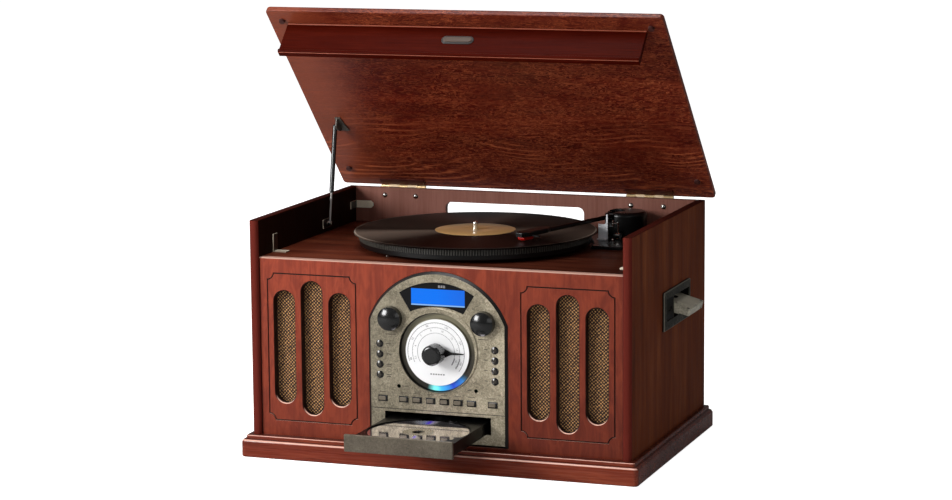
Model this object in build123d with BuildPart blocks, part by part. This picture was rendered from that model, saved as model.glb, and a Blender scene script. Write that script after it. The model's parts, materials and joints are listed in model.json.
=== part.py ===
"""Stereo music centre: a wooden cabinet with a hinged lid over a record deck, a front panel with
a tuning dial and keys, a disc tray, a cassette slot in the right side and two loudspeakers.

Frame: +X right, +Y back, +Z up, in millimetres. The origin is the centre of the plinth's underside.
The model stands with its lid open, its disc tray out and a record, a disc and a cassette in place.
"""

from build123d import *
import os
from math import atan2, cos, degrees, hypot, radians, sin

# ---------------------------------------------------------------- cabinet
cabinet_width = 483.0
cabinet_depth = 327.0
side_top = 291.5
deck_top = 246.0
plinth_height = 27.0
plinth_reach = 11.5
plinth_step = 4.5
plinth_inset = 5.0
floor_thickness = 10.0
side_thickness = 11.0
front_thickness = 10.0
front_recess = 5.5
rear_thickness = 9.0
deck_thickness = 9.0

rear_window_x = -10.5
rear_window_width = 189.0
rear_window_sill = 6.0
rear_window_high = 276.0
rear_window_corner = 8.0
vent_place = (110.0, 120.0)
vent_pitch = 14.0
vent_count = 9
vent_height = 60.0
vent_width = 4.0

# ---------------------------------------------------------------- clearances
running = 0.05
slip = 0.3
key_gap = 0.35

# ---------------------------------------------------------------- loudspeaker openings
speaker_x = 162.5
speaker_z = 136.5
slot_width = 27.0
slot_pitch = 36.2
outer_slot_height = 139.0
middle_slot_height = 165.0
frame_width = 117.0
frame_height = 183.0
frame_notch = 8.0
groove_width = 1.6
groove_depth = 1.0
cloth_thickness = 2.0
driver_radius = 52.0
driver_depth = 48.0
magnet_radius = 29.0

# ---------------------------------------------------------------- control panel
panel_half_width = 88.0
panel_bottom = 30.5
panel_shoulder = 178.5
panel_top = 239.2
panel_proud = 3.0
panel_bevel = 3.0
panel_wall = 3.0
panel_depth = 12.0
panel_fit = 0.5
seam_z = 70.5
dial_z = 142.0
dial_radius = 48.3
dial_disc_radius = 40.8
dial_lip_radius = 52.0
dial_lip_z = 144.3
dial_lip_proud = 1.2
window_half_width = 47.5
window_tip_z = 212.7
window_top_z = 226.9
window_foot_x = 33.6
window_foot_z = 190.0
window_low_z = 197.4
window_thickness = 2.0
knob_x = 58.8
knob_z = 180.8
knob_radius = 15.0
knob_height = 12.0
knob_dome = 4.5
knob_draft = 0.8
shaft_radius = 3.0
tuning_radius = 12.3
tuning_height = 22.0
pointer_hub_radius = 9.5
pointer_length = 34.0

# ---------------------------------------------------------------- push buttons
key_proud = 1.5
key_flange = 1.2
key_lug = 1.2
round_x = 73.2
round_zs = (149.0, 136.4, 123.8, 111.2)
round_radius = 4.3
row_xs = (-69.9, -43.3, -26.0, -8.7, 8.7, 26.0, 43.3, 69.9)
row_z = 82.6
row_key_width = 11.6
row_key_height = 7.0
lamp_x = 49.1
lamp_z = 98.6
lamp_radius = 2.4

# ---------------------------------------------------------------- disc drive
slot_half_width = 67.6
slot_low = 45.8
slot_high = 67.0
tray_travel = 130.0
tray_plate_thickness = 3.5
tray_gap = 0.4
tray_half_width = 62.5
tray_low = 46.6
tray_high = 61.0
tray_length = 165.0
disc_radius = 60.0
disc_thickness = 1.2
disc_hole = 7.5
disc_setback = 67.0
disc_top = 59.6
drive_half_width = 72.0
drive_wall = 2.0
drive_depth = 176.0

# ---------------------------------------------------------------- cassette slot, in the right side
bezel_front = -26.0
bezel_length = 117.5
bezel_low = 156.8
bezel_high = 204.6
bezel_proud = 3.0
mouth_front = -16.2
mouth_length = 101.5
mouth_low = 168.0
mouth_high = 195.0
mouth_divider = 2.0
eject_length = 30.3
housing_wall = 2.0
housing_high = 218.0
housing_depth = 100.0
cassette_length = 100.4
cassette_width = 63.8
cassette_thickness = 8.8
cassette_thick_part = 11.6
cassette_out = 22.0
cassette_side_gap = 2.2
cassette_z = 179.8
cassette_tilt = 16.0

# ---------------------------------------------------------------- record deck
record_x = -9.5
record_y = 9.75
record_top = 266.0
record_thickness = 2.0
record_radius = 150.8
platter_radius = 143.6
platter_height = 14.0
platter_web = 3.5
platter_rim = 4.5
drive_ring_radius = 92.0
spindle_radius = 3.55
spindle_top = 277.0
bush_radius = 7.0
pulley_radius = 6.0
pulley_distance = 112.0
pulley_bearing = 140.0
motor_shaft_radius = 1.2
motor_radius = 16.0
motor_height = 25.0
belt_thickness = 0.8
belt_height = 5.0
belt_gap = 0.3

# ---------------------------------------------------------------- tonearm
arm_x = 136.0
arm_y = 127.25
arm_z = 273.0
arm_inner_swing = 16.5
arm_outer_swing = 15.05
stylus_x = 76.7
stylus_y = -61.25
stylus_gap = 0.15
turret_radius = 12.5
turret_foot = 262.0
turret_top = 279.0
turret_post_radius = 4.0
arm_housing_x = 150.0
arm_housing_y = 128.25
arm_housing_radius = 26.5
arm_housing_top = 279.5
arm_tube_radius = 2.8
arm_hub_width = 8.6
arm_pin_radius = 1.5
headshell_length = 62.0
headshell_width = 17.0
headshell_height = 5.4
headshell_drop = 1.1
headshell_nose = 8.0
headshell_wall = 1.6
needle_length = 1.2
arm_pin_reach = 1.5
cartridge_length = 26.0
cartridge_width = 10.0
cartridge_setback = 10.5
arm_base_left = 114.0
arm_base_right = 178.0
arm_base_front = 24.0
arm_base_back = 157.0
arm_base_thickness = 4.0
rest_y = 79.25
rest_low_top = 268.5
rest_prong_top = 281.0
rest_thickness = 1.6
rest_face_x = 138.4
rest_width = 10.0
notch_margin = 17.0
cue_ear_width = 11.0
cue_gap = 5.6
cue_x = 152.0
cue_y = 85.0
cue_z = 254.5
cue_length = 14.5
cue_reach = 6.5
cue_rod_radius = 1.3
speed_x = 157.0
speed_y = 46.0
speed_throw = 5.0

# ---------------------------------------------------------------- lid, hinges and stay
lid_overhang = 12.0
lid_front_overhang = 15.5
lid_past_hinge = 1.0
lid_thickness = 8.0
lid_open_angle = 45.0
lid_corner = 5.0
lid_outer_round = 3.0
lid_inner_round = 1.0
hinge_back = 4.0
hinge_rise = 0.5
hinge_to_lid = 2.5
hinge_x = 168.0
hinge_length = 62.0
hinge_radius = 2.2
hinge_pin_radius = 1.1
leaf_thickness = 1.3
leaf_width = 22.0
lid_leaf_width = 8.0
knuckle_gap = 0.25
apron_setback = 2.0
apron_thickness = 7.0
apron_gap = 1.5
apron_side_gap = 1.0
apron_bead = 2.5
bumper_radius = 4.0
bumper_height = 2.9
bumper_front_margin = 3.0
bumper_rear_margin = 29.0
stay_wall_gap = 4.5
stay_y = 59.25
stay_z = 257.0
stay_lean = 10.6
stay_rod_radius = 1.4
stay_sleeve_radius = 3.0
stay_sleeve_length = 85.0
stay_head_gap = 0.8
stay_eye_radius = 3.4
stay_pin_radius = 1.6
stay_eye_width = 4.0
stay_cheek_gap = 0.8
stay_cheek_thickness = 1.4

# ---------------------------------------------------------------- brackets, screws and electrics
bracket_thickness = 1.2
bracket_width = 9.5
bracket_high = 268.5
bracket_front = -104.75
bracket_reach = 25.0
bracket_point = 3.5
transit_place = (-83.0, -100.0)
transit_radius = 3.0
transit_height = 3.5
hinge_bolt_reach = 21.5
rear_screw_xs = (-215.0, -75.0, 75.0, 215.0)
rear_screw_zs = (40.0, 235.0)
board_thickness = 1.6
board_low = 74.0
control_radius = 8.5
board_setback = 7.2
main_board_place = (-150.0, 40.0)
main_board_width = 110.0
main_board_depth = 150.0
main_board_rise = 4.0
transformer_place = (150.0, 60.0)
transformer_width = 62.0
transformer_depth = 52.0
transformer_height = 50.0
jack_place = (-90.0, 70.0)
jack_width = 96.0
jack_height = 26.0
inlet_place = (-175.0, 62.0)
inlet_width = 24.0
inlet_height = 15.0

# ---------------------------------------------------------------- derived places
half_width = cabinet_width / 2
inner_half = half_width - side_thickness
stay_x = stay_wall_gap - inner_half
body_back = (cabinet_depth + plinth_reach) / 2
body_front = body_back - cabinet_depth
front_face = body_front + front_recess
front_back = front_face + front_thickness
rear_inner = body_back - rear_thickness
deck_bottom = deck_top - deck_thickness
panel_face = front_face - panel_proud
panel_back = panel_face + panel_depth
wall_back = panel_face + panel_wall
board_face = wall_back + board_setback
bumper_x = half_width - side_thickness / 2
record_bottom = record_top - record_thickness
platter_low = record_bottom - platter_height
hinge_y = body_back + hinge_back
hinge_z = side_top + hinge_rise


def facing_front(y):
    """Sketch plane at depth y: local x is X, local y is Z, and extrusion goes towards the viewer."""
    return Plane.XZ.offset(-y)


def facing_right(x):
    """Sketch plane at X = x: local x is Y, local y is Z, and extrusion goes to the right."""
    return Plane.YZ.offset(x)


def across_shaft(x, z):
    """Half-plane for turned parts on a front-to-back axis: local x is Y, local y is the radius."""
    return Plane(origin=(x, 0, z), x_dir=(0, 1, 0), z_dir=(1, 0, 0))


def shaft_axis(x, z):
    return Axis((x, 0, z), (0, 1, 0))


def beside_post(x, y):
    """Half-plane for turned parts on an upright axis: local x is the radius, local y is Z."""
    return Plane(origin=(x, y, 0), x_dir=(1, 0, 0), z_dir=(0, -1, 0))


def post_axis(x, y):
    return Axis((x, y, 0), (0, 0, 1))


def arch(inset):
    """Outline of the arched panel, inset evenly from its outer edge."""
    half = panel_half_width - inset
    with BuildSketch() as outline:
        with BuildLine():
            Polyline((-half, panel_shoulder), (-half, panel_bottom + inset),
                     (half, panel_bottom + inset), (half, panel_shoulder))
            ThreePointArc((half, panel_shoulder), (0, panel_top - inset), (-half, panel_shoulder))
        make_face()
    return outline.sketch


def window_shape(gap):
    """Outline of the display window: a lens with a hollow foot that follows the dial."""
    with BuildSketch() as outline:
        with BuildLine():
            ThreePointArc((-window_half_width, window_tip_z), (0, window_top_z),
                          (window_half_width, window_tip_z))
            Line((window_half_width, window_tip_z), (window_foot_x, window_foot_z))
            ThreePointArc((window_foot_x, window_foot_z), (0, window_low_z),
                          (-window_foot_x, window_foot_z))
            Line((-window_foot_x, window_foot_z), (-window_half_width, window_tip_z))
        make_face()
        if gap:
            offset(amount=-gap)
    return outline.sketch


def notched_frame(width, height, notch):
    """Rectangle whose corners are scooped out by quarter circles."""
    with BuildSketch() as outline:
        Rectangle(width, height)
        with GridLocations(frame_width, frame_height, 2, 2):
            Circle(notch, mode=Mode.SUBTRACT)
    return outline.sketch


# ================================================================ cabinet
plinth_depth = cabinet_depth + plinth_reach
with BuildPart() as plinth:
    plinth_width = cabinet_width + 2 * plinth_reach
    with BuildSketch():
        Rectangle(plinth_width, plinth_depth)
        fillet(vertices().group_by(Axis.Y)[0], 6)
    extrude(amount=plinth_height - plinth_step)
    moulded = edges().filter_by(Plane.XY).filter_by(lambda e: e.center().Y < body_back - 1)
    fillet(moulded.group_by(Axis.Z)[-1], 5)
    chamfer(moulded.group_by(Axis.Z)[0], 1.2)
    with BuildSketch(Plane.XY.offset(plinth_height - plinth_step)):
        with Locations((0, plinth_inset / 2)):
            Rectangle(plinth_width - 2 * plinth_inset, plinth_depth - plinth_inset)
        fillet(vertices().group_by(Axis.Y)[0], 4)
    extrude(amount=plinth_step)
    ledge = edges().filter_by(Plane.XY).group_by(Axis.Z)[-1]
    fillet(ledge.filter_by(lambda e: e.center().Y < body_back - 1), 2)
    with BuildSketch(Plane.XY.offset(plinth_height)):
        with Locations((0, (front_back + rear_inner) / 2)):
            Rectangle(2 * inner_half - 20, rear_inner - front_back - 20)
    extrude(amount=floor_thickness - plinth_height, mode=Mode.SUBTRACT)


def side_panel(inner_x):
    """Upright side board with a rounded front edge."""
    with BuildPart() as board:
        with BuildSketch(facing_right(inner_x)):
            with Locations(((body_front + body_back) / 2, (plinth_height + side_top) / 2)):
                Rectangle(cabinet_depth, side_top - plinth_height)
        extrude(amount=side_thickness)
        fillet(edges().filter_by(Axis.Z).group_by(Axis.Y)[0], side_thickness * 0.42)
        fillet(edges().filter_by(Axis.Y).group_by(Axis.Z)[-1], 1.2)
    return board


mouth_middle = mouth_front + mouth_length / 2
mouth_height = mouth_high - mouth_low
mouth_centre_z = (mouth_low + mouth_high) / 2
collar_length = mouth_length + 2 * housing_wall
collar_height = mouth_height + 2 * housing_wall
side_left = side_panel(-half_width)
with BuildPart() as side_right:
    add(side_panel(inner_half).part)
    with BuildSketch(facing_right(inner_half)):
        with Locations((mouth_middle, mouth_centre_z)):
            Rectangle(collar_length + 2 * slip, collar_height + 2 * slip)
    extrude(amount=side_thickness, mode=Mode.SUBTRACT)

with BuildPart() as front_panel:
    with BuildSketch(facing_front(front_back)):
        with Locations((0, (plinth_height + deck_top) / 2)):
            Rectangle(2 * inner_half, deck_top - plinth_height)
    extrude(amount=front_thickness)
    fillet(edges().filter_by(Axis.X).group_by(Axis.Z)[-1].sort_by(Axis.Y)[0], 1.5)
    with BuildSketch(facing_front(front_face)):
        for centre in (-speaker_x, speaker_x):
            with Locations((centre, speaker_z)):
                SlotOverall(middle_slot_height, slot_width, rotation=90)
            with Locations((centre - slot_pitch, speaker_z), (centre + slot_pitch, speaker_z)):
                SlotOverall(outer_slot_height, slot_width, rotation=90)
    extrude(amount=-front_thickness, mode=Mode.SUBTRACT)
    slot_rims = faces().sort_by(Axis.Y)[0].inner_wires()
    fillet(slot_rims.edges(), 1.5)
    with BuildSketch(facing_front(front_face)):
        for centre in (-speaker_x, speaker_x):
            with Locations((centre, speaker_z)):
                add(notched_frame(frame_width, frame_height, frame_notch))
                add(notched_frame(frame_width - 2 * groove_width, frame_height - 2 * groove_width,
                                  frame_notch + groove_width), mode=Mode.SUBTRACT)
    extrude(amount=-groove_depth, mode=Mode.SUBTRACT)
    with BuildSketch(facing_front(front_face)):
        add(arch(-panel_fit))
    extrude(amount=-front_thickness, mode=Mode.SUBTRACT)

rear_window_low = deck_top + rear_window_sill
with BuildPart() as rear_panel:
    with BuildSketch(facing_front(body_back)):
        with Locations((0, (plinth_height + side_top) / 2)):
            Rectangle(2 * inner_half, side_top - plinth_height)
        with Locations((rear_window_x, (rear_window_low + rear_window_high) / 2)):
            RectangleRounded(rear_window_width, rear_window_high - rear_window_low, rear_window_corner,
                             mode=Mode.SUBTRACT)
        with Locations(jack_place):
            RectangleRounded(jack_width, jack_height, 3, mode=Mode.SUBTRACT)
        with Locations(inlet_place):
            RectangleRounded(inlet_width, inlet_height, 2, mode=Mode.SUBTRACT)
        with Locations(vent_place):
            with GridLocations(vent_pitch, 0, vent_count, 1):
                SlotOverall(vent_height, vent_width, rotation=90, mode=Mode.SUBTRACT)
    extrude(amount=rear_thickness)

pulley_x = record_x + pulley_distance * cos(radians(pulley_bearing))
pulley_y = record_y + pulley_distance * sin(radians(pulley_bearing))
with BuildPart() as deck:
    with BuildSketch(Plane.XY.offset(deck_bottom)):
        with Locations((0, (front_back + rear_inner) / 2)):
            Rectangle(2 * inner_half, rear_inner - front_back)
        with Locations((record_x, record_y)):
            Circle(bush_radius, mode=Mode.SUBTRACT)
        with Locations((pulley_x, pulley_y)):
            Circle(pulley_radius + 3, mode=Mode.SUBTRACT)
    extrude(amount=deck_thickness)

# ================================================================ control panel
with BuildPart() as control_panel:
    with BuildSketch(facing_front(panel_back)):
        add(arch(0))
    extrude(amount=panel_depth)
    chamfer(faces().sort_by(Axis.Y)[0].outer_wire().edges(), panel_bevel)
    with BuildSketch(facing_front(panel_back)):
        add(arch(panel_wall))
    extrude(amount=panel_depth - panel_wall, mode=Mode.SUBTRACT)
    with BuildSketch(facing_front(panel_face)):
        with Locations((0, dial_lip_z)):
            Circle(dial_lip_radius)
    extrude(amount=dial_lip_proud)
    chamfer(faces().sort_by(Axis.Y)[0].outer_wire().edges(), dial_lip_proud * 0.8)
    with BuildSketch(facing_front(panel_face - dial_lip_proud)):
        with Locations((0, dial_z)):
            Circle(dial_radius)
        add(window_shape(0))
        with Locations((-knob_x, knob_z), (knob_x, knob_z)):
            Circle(shaft_radius + 1)
        with Locations((-lamp_x, lamp_z), (lamp_x, lamp_z)):
            Circle(lamp_radius)
        for button_z in round_zs:
            with Locations((-round_x, button_z), (round_x, button_z)):
                Circle(round_radius + key_gap)
        with Locations([(key_x, row_z) for key_x in row_xs]):
            Rectangle(row_key_width + 2 * key_gap, row_key_height + 2 * key_gap)
        with Locations((0, (slot_low + slot_high) / 2)):
            Rectangle(2 * slot_half_width, slot_high - slot_low)
    extrude(amount=-panel_wall - dial_lip_proud, mode=Mode.SUBTRACT)
    with BuildSketch(facing_front(panel_face)):
        with Locations((0, seam_z)):
            Rectangle(2 * panel_half_width, 0.8)
    extrude(amount=-0.6, mode=Mode.SUBTRACT)

with BuildPart() as display_window:
    with BuildSketch(facing_front(panel_face + window_thickness + 0.6)):
        add(window_shape(0.2))
    extrude(amount=window_thickness)

dial_floor = panel_face + 4.0
dial_front = panel_face + 1.0
dial_back = panel_face + 6.5
with BuildPart() as dial_face:
    with BuildSketch(across_shaft(0, dial_z)):
        with BuildLine():
            Polyline((dial_back, shaft_radius + 0.2), (dial_back, dial_radius + 3),
                     (wall_back, dial_radius + 3), (wall_back, dial_radius - 0.3),
                     (dial_floor, dial_radius - 0.9), (dial_floor, dial_disc_radius + 0.6),
                     (dial_front + 0.6, dial_disc_radius), (dial_front, dial_disc_radius - 0.6),
                     (dial_front, shaft_radius + 0.2), close=True)
        make_face()
    revolve(axis=shaft_axis(0, dial_z))


def dome_knob(x, z):
    """Domed knob with a shallow skirt, on a round shaft that reaches its control behind the panel."""
    skirt = panel_face - 0.5
    crown = panel_face - knob_height
    shoulder = crown + knob_dome
    shaft_end = panel_back - slip
    with BuildPart() as knob:
        with BuildSketch(across_shaft(x, z)):
            with BuildLine():
                Polyline((crown, 0), (shaft_end, 0), (shaft_end, shaft_radius), (skirt, shaft_radius),
                         (skirt, knob_radius), (shoulder, knob_radius - knob_draft))
                TangentArc((crown, 0), (shoulder, knob_radius - knob_draft), tangent=(0, 1))
            make_face()
        revolve(axis=shaft_axis(x, z))
    return knob


volume_knob = dome_knob(-knob_x, knob_z)
function_knob = dome_knob(knob_x, knob_z)

tuning_front = panel_face - tuning_height
pointer_back = dial_front - 0.8
pointer_front = pointer_back - 1.8
with BuildPart() as tuning_knob:
    with BuildSketch(across_shaft(0, dial_z)):
        with BuildLine():
            Polyline((tuning_front, 0), (panel_back - slip, 0), (panel_back - slip, shaft_radius),
                     (pointer_front - 0.1, shaft_radius), (pointer_front - 0.1, tuning_radius * 0.8),
                     (pointer_front - 3, tuning_radius), (tuning_front + 2.5, tuning_radius))
            ThreePointArc((tuning_front + 2.5, tuning_radius), (tuning_front + 0.7, tuning_radius - 1.8),
                          (tuning_front, tuning_radius - 4))
            Line((tuning_front, tuning_radius - 4), (tuning_front, 0))
        make_face()
    revolve(axis=shaft_axis(0, dial_z))
    grip_places = PolarLocations(tuning_radius + 0.3, 24)
    with BuildSketch(Plane(origin=(0, tuning_front, dial_z), x_dir=(1, 0, 0), z_dir=(0, -1, 0))):
        with grip_places:
            Circle(0.7)
    extrude(amount=-tuning_height + 7, mode=Mode.SUBTRACT)

with BuildPart() as dial_pointer:
    with BuildSketch(facing_front(pointer_back)):
        with Locations((0, dial_z)):
            Circle(pointer_hub_radius)
        with BuildLine():
            Polyline((pointer_hub_radius * 0.45, dial_z + pointer_hub_radius * 0.85),
                     (pointer_hub_radius * 1.9, dial_z + 1.6), (pointer_length, dial_z + 0.5),
                     (pointer_length, dial_z - 0.5), (pointer_hub_radius * 1.9, dial_z - 1.6),
                     (pointer_hub_radius * 0.45, dial_z - pointer_hub_radius * 0.85), close=True)
        make_face()
        with Locations((0, dial_z)):
            Circle(shaft_radius, mode=Mode.SUBTRACT)
    extrude(amount=pointer_back - pointer_front)


def round_button(x, z):
    """Domed round push button with a retaining flange behind the panel."""
    cap_front = panel_face - key_proud
    with BuildPart() as button:
        with BuildSketch(across_shaft(x, z)):
            with BuildLine():
                Polyline((cap_front, 0), (wall_back + key_flange + slip, 0),
                         (wall_back + key_flange + slip, round_radius + 1.2),
                         (wall_back + slip, round_radius + 1.2), (wall_back + slip, round_radius),
                         (panel_face - 0.4, round_radius))
                TangentArc((cap_front, 0), (panel_face - 0.4, round_radius), tangent=(0, 1))
            make_face()
        revolve(axis=shaft_axis(x, z))
    return button


def row_key(x, z):
    """Oblong push key with bevelled edges and a retaining flange behind the panel."""
    with BuildPart() as key:
        with BuildSketch(facing_front(wall_back + slip + key_flange)):
            with Locations((x, z)):
                Rectangle(row_key_width + 2 * key_lug, row_key_height)
        extrude(amount=key_flange)
        with BuildSketch(facing_front(wall_back + slip)):
            with Locations((x, z)):
                RectangleRounded(row_key_width, row_key_height, 1.2)
        extrude(amount=panel_wall + slip + key_proud)
        chamfer(faces().sort_by(Axis.Y)[0].edges(), 0.7)
    return key


round_buttons = {}
for side, sign in (("left", -1), ("right", 1)):
    for place, button_z in enumerate(round_zs, start=1):
        round_buttons[f"round_button_{side}_{place}"] = round_button(sign * round_x, button_z)
row_keys = {f"row_key_{place}": row_key(key_x, row_z) for place, key_x in enumerate(row_xs, start=1)}

# ================================================================ loudspeakers
with BuildPart() as grille_cloths:
    with BuildSketch(facing_front(front_back + cloth_thickness)):
        with Locations((-speaker_x, speaker_z), (speaker_x, speaker_z)):
            Rectangle(frame_width - 3, frame_height - 9)
    extrude(amount=cloth_thickness)

driver_front = front_back + cloth_thickness
with BuildPart() as speakers:
    for centre in (-speaker_x, speaker_x):
        with BuildSketch(across_shaft(centre, speaker_z)):
            with BuildLine():
                Polyline((driver_front, driver_radius), (driver_front, driver_radius - 6),
                         (driver_front + 2, driver_radius - 8), (driver_front + 17, 14),
                         (driver_front + 12, 0), (driver_front + driver_depth, 0),
                         (driver_front + driver_depth, magnet_radius),
                         (driver_front + driver_depth - 16, magnet_radius),
                         (driver_front + driver_depth - 18, 22), (driver_front + 4, driver_radius - 6),
                         (driver_front + 3, driver_radius), close=True)
            make_face()
        revolve(axis=shaft_axis(centre, speaker_z))

# ================================================================ disc drive
tray_front_face = panel_face - 1.5 - tray_travel
tray_start = tray_front_face + tray_plate_thickness
disc_y = tray_front_face + disc_setback
with BuildPart() as cd_tray:
    with BuildSketch(Plane.XY.offset(tray_low)):
        with Locations((0, tray_start + tray_length / 2)):
            Rectangle(2 * tray_half_width, tray_length)
    extrude(amount=tray_high - tray_low)
    fillet(edges().filter_by(Axis.Z).group_by(Axis.Y)[-1], 6)
    with BuildSketch(Plane.XY.offset(tray_high)):
        with Locations((0, disc_y)):
            Circle(disc_radius + 1.5)
    extrude(amount=disc_top - disc_thickness - tray_high - slip, mode=Mode.SUBTRACT)
    with BuildSketch(Plane.XY.offset(tray_high)):
        with Locations((0, disc_y)):
            Circle(41)
    extrude(amount=disc_top - disc_thickness - tray_high - 1.5, mode=Mode.SUBTRACT)
    with BuildSketch(Plane.XY.offset(tray_high)):
        with Locations((0, disc_y + 32)):
            SlotOverall(96, 34, rotation=90)
    extrude(amount=tray_low - tray_high, mode=Mode.SUBTRACT)
    with BuildSketch(Plane.XY.offset(tray_low)):
        with Locations((-50, tray_start + 60), (50, tray_start + 60)):
            Rectangle(18, 110)
    extrude(amount=7, mode=Mode.SUBTRACT)

with BuildPart() as tray_front:
    with BuildSketch(facing_front(tray_start)):
        with Locations((0, (slot_low + slot_high) / 2)):
            RectangleRounded(2 * slot_half_width - 2 * tray_gap, slot_high - slot_low - 2 * tray_gap, 1)
    extrude(amount=tray_plate_thickness)
    chamfer(faces().sort_by(Axis.Y)[0].edges(), 0.6)

with BuildPart() as compact_disc:
    with BuildSketch(Plane.XY.offset(disc_top - disc_thickness)):
        with Locations((0, disc_y)):
            Circle(disc_radius)
            Circle(disc_hole, mode=Mode.SUBTRACT)
    extrude(amount=disc_thickness)

drive_start = panel_back
drive_low = tray_low - 0.4 - drive_wall
drive_high = slot_high + drive_wall
with BuildPart() as disc_drive:
    with BuildSketch(facing_front(drive_start)):
        with Locations((0, (drive_low + drive_high) / 2)):
            Rectangle(2 * drive_half_width, drive_high - drive_low)
            Rectangle(2 * drive_half_width - 2 * drive_wall, drive_high - drive_low - 2 * drive_wall,
                      mode=Mode.SUBTRACT)
    extrude(amount=-drive_depth)
    with BuildSketch(facing_front(drive_start + drive_depth)):
        with Locations((0, (drive_low + drive_high) / 2)):
            Rectangle(2 * drive_half_width, drive_high - drive_low)
    extrude(amount=drive_wall)
    with BuildSketch(Plane.XY.offset(floor_thickness)):
        with Locations((0, drive_start + drive_depth / 2)):
            with GridLocations(2 * drive_half_width - 12, drive_depth - 30, 2, 2):
                Circle(4)
    extrude(amount=drive_low - floor_thickness)

# ================================================================ cassette player
bezel_middle = bezel_front + bezel_length / 2
housing_inner = inner_half - housing_depth
with BuildPart() as cassette_deck:
    with BuildSketch(facing_right(half_width)):
        with Locations((bezel_middle, (bezel_low + bezel_high) / 2)):
            RectangleRounded(bezel_length, bezel_high - bezel_low, 2)
    extrude(amount=bezel_proud)
    fillet(faces().sort_by(Axis.X)[-1].outer_wire().edges(), 1.5)
    with BuildSketch(facing_right(inner_half)):
        with Locations((mouth_middle, mouth_centre_z)):
            Rectangle(collar_length, collar_height)
    extrude(amount=side_thickness)
    with BuildSketch(facing_right(housing_inner)):
        with Locations((mouth_middle, (mouth_low + housing_high) / 2 - housing_wall)):
            Rectangle(collar_length, housing_high - mouth_low + 2 * housing_wall)
    extrude(amount=housing_depth)
    with BuildSketch(facing_right(housing_inner + housing_wall)):
        with Locations((mouth_middle, (mouth_low + housing_high) / 2 - housing_wall)):
            Rectangle(mouth_length, housing_high - mouth_low)
    extrude(amount=housing_depth - 2 * housing_wall, mode=Mode.SUBTRACT)
    with BuildSketch(facing_right(inner_half - housing_wall)):
        with Locations((mouth_middle, mouth_centre_z)):
            Rectangle(mouth_length, mouth_height)
    extrude(amount=side_thickness + housing_wall + bezel_proud, mode=Mode.SUBTRACT)
    with BuildSketch(facing_right(inner_half)):
        with Locations((mouth_front + eject_length + 2 * slip + mouth_divider / 2, mouth_centre_z)):
            Rectangle(mouth_divider, mouth_height)
    extrude(amount=side_thickness + bezel_proud - 0.6)

with BuildPart() as eject_key:
    with BuildSketch(facing_right(inner_half)):
        with Locations((mouth_front + slip + eject_length / 2, mouth_centre_z)):
            Rectangle(eject_length, mouth_height - 2 * slip)
    extrude(amount=side_thickness + bezel_proud - 0.8)
    fillet(faces().sort_by(Axis.X)[-1].edges(), 1)
    with BuildSketch(facing_right(half_width + bezel_proud - 0.8)):
        with Locations((mouth_front + slip + eject_length / 2, mouth_centre_z)):
            SlotOverall(16, 5)
    extrude(amount=-0.8, mode=Mode.SUBTRACT)

tilt = radians(cassette_tilt)
cassette_y = mouth_front + mouth_length - cassette_side_gap - cassette_width / 2
cassette_plane = Plane(origin=(half_width, cassette_y, cassette_z), x_dir=(cos(tilt), 0, -sin(tilt)),
                       z_dir=(sin(tilt), 0, cos(tilt)))
cassette_middle = cassette_out - cassette_length / 2
with BuildPart() as cassette:
    with BuildSketch(cassette_plane.offset(-cassette_thickness / 2)):
        with Locations((cassette_middle, 0)):
            RectangleRounded(cassette_length, cassette_width, 2.5)
            with Locations((-21.25, 0), (21.25, 0)):
                Circle(5, mode=Mode.SUBTRACT)
            Rectangle(24, 9, mode=Mode.SUBTRACT)
    extrude(amount=cassette_thickness)
    with BuildSketch(cassette_plane.offset(-cassette_thick_part / 2)):
        with BuildLine():
            edge = -cassette_width / 2
            Polyline((cassette_middle - 38, edge + 0.4), (cassette_middle + 38, edge + 0.4),
                     (cassette_middle + 34, edge + 14), (cassette_middle - 34, edge + 14), close=True)
        make_face()
    extrude(amount=cassette_thick_part)
    with BuildSketch(cassette_plane.offset(cassette_thick_part / 2)):
        with Locations((cassette_middle - 28, -cassette_width / 2 + 7),
                       (cassette_middle + 28, -cassette_width / 2 + 7)):
            Circle(2.6)
        with Locations((cassette_middle, -cassette_width / 2 + 4)):
            with GridLocations(26, 0, 3, 1):
                Rectangle(8, 5)
    extrude(amount=-cassette_thick_part, mode=Mode.SUBTRACT)

# ================================================================ record deck
rim_inner = platter_radius - platter_rim
ring_inner = drive_ring_radius - 3
web_low = record_bottom - platter_web
with BuildPart() as platter:
    with BuildSketch(beside_post(record_x, record_y)):
        with BuildLine():
            Polyline((0, deck_bottom - 2), (spindle_radius - 0.5, deck_bottom - 2),
                     (spindle_radius, deck_bottom), (spindle_radius, platter_low + 1),
                     (12, platter_low + 1), (14, web_low),
                     (ring_inner, web_low), (ring_inner, platter_low + 1.5),
                     (drive_ring_radius, platter_low + 1.5), (drive_ring_radius, web_low),
                     (rim_inner, web_low), (rim_inner, platter_low), (platter_radius - 1, platter_low),
                     (platter_radius, platter_low + 1), (platter_radius, record_bottom - 1),
                     (platter_radius - 1, record_bottom), (spindle_radius, record_bottom),
                     (spindle_radius, spindle_top - 3))
            TangentArc((0, spindle_top), (spindle_radius, spindle_top - 3), tangent=(1, 0))
            Line((0, spindle_top), (0, deck_bottom - 2))
        make_face()
    revolve(axis=post_axis(record_x, record_y))

with BuildPart() as record:
    with BuildSketch(Plane.XY.offset(record_bottom)):
        with Locations((record_x, record_y)):
            Circle(record_radius)
            Circle(spindle_radius + 0.1, mode=Mode.SUBTRACT)
    extrude(amount=record_thickness)
    chamfer(edges().filter_by(GeomType.CIRCLE).filter_by(lambda e: e.radius > 100), 0.6)

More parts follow.
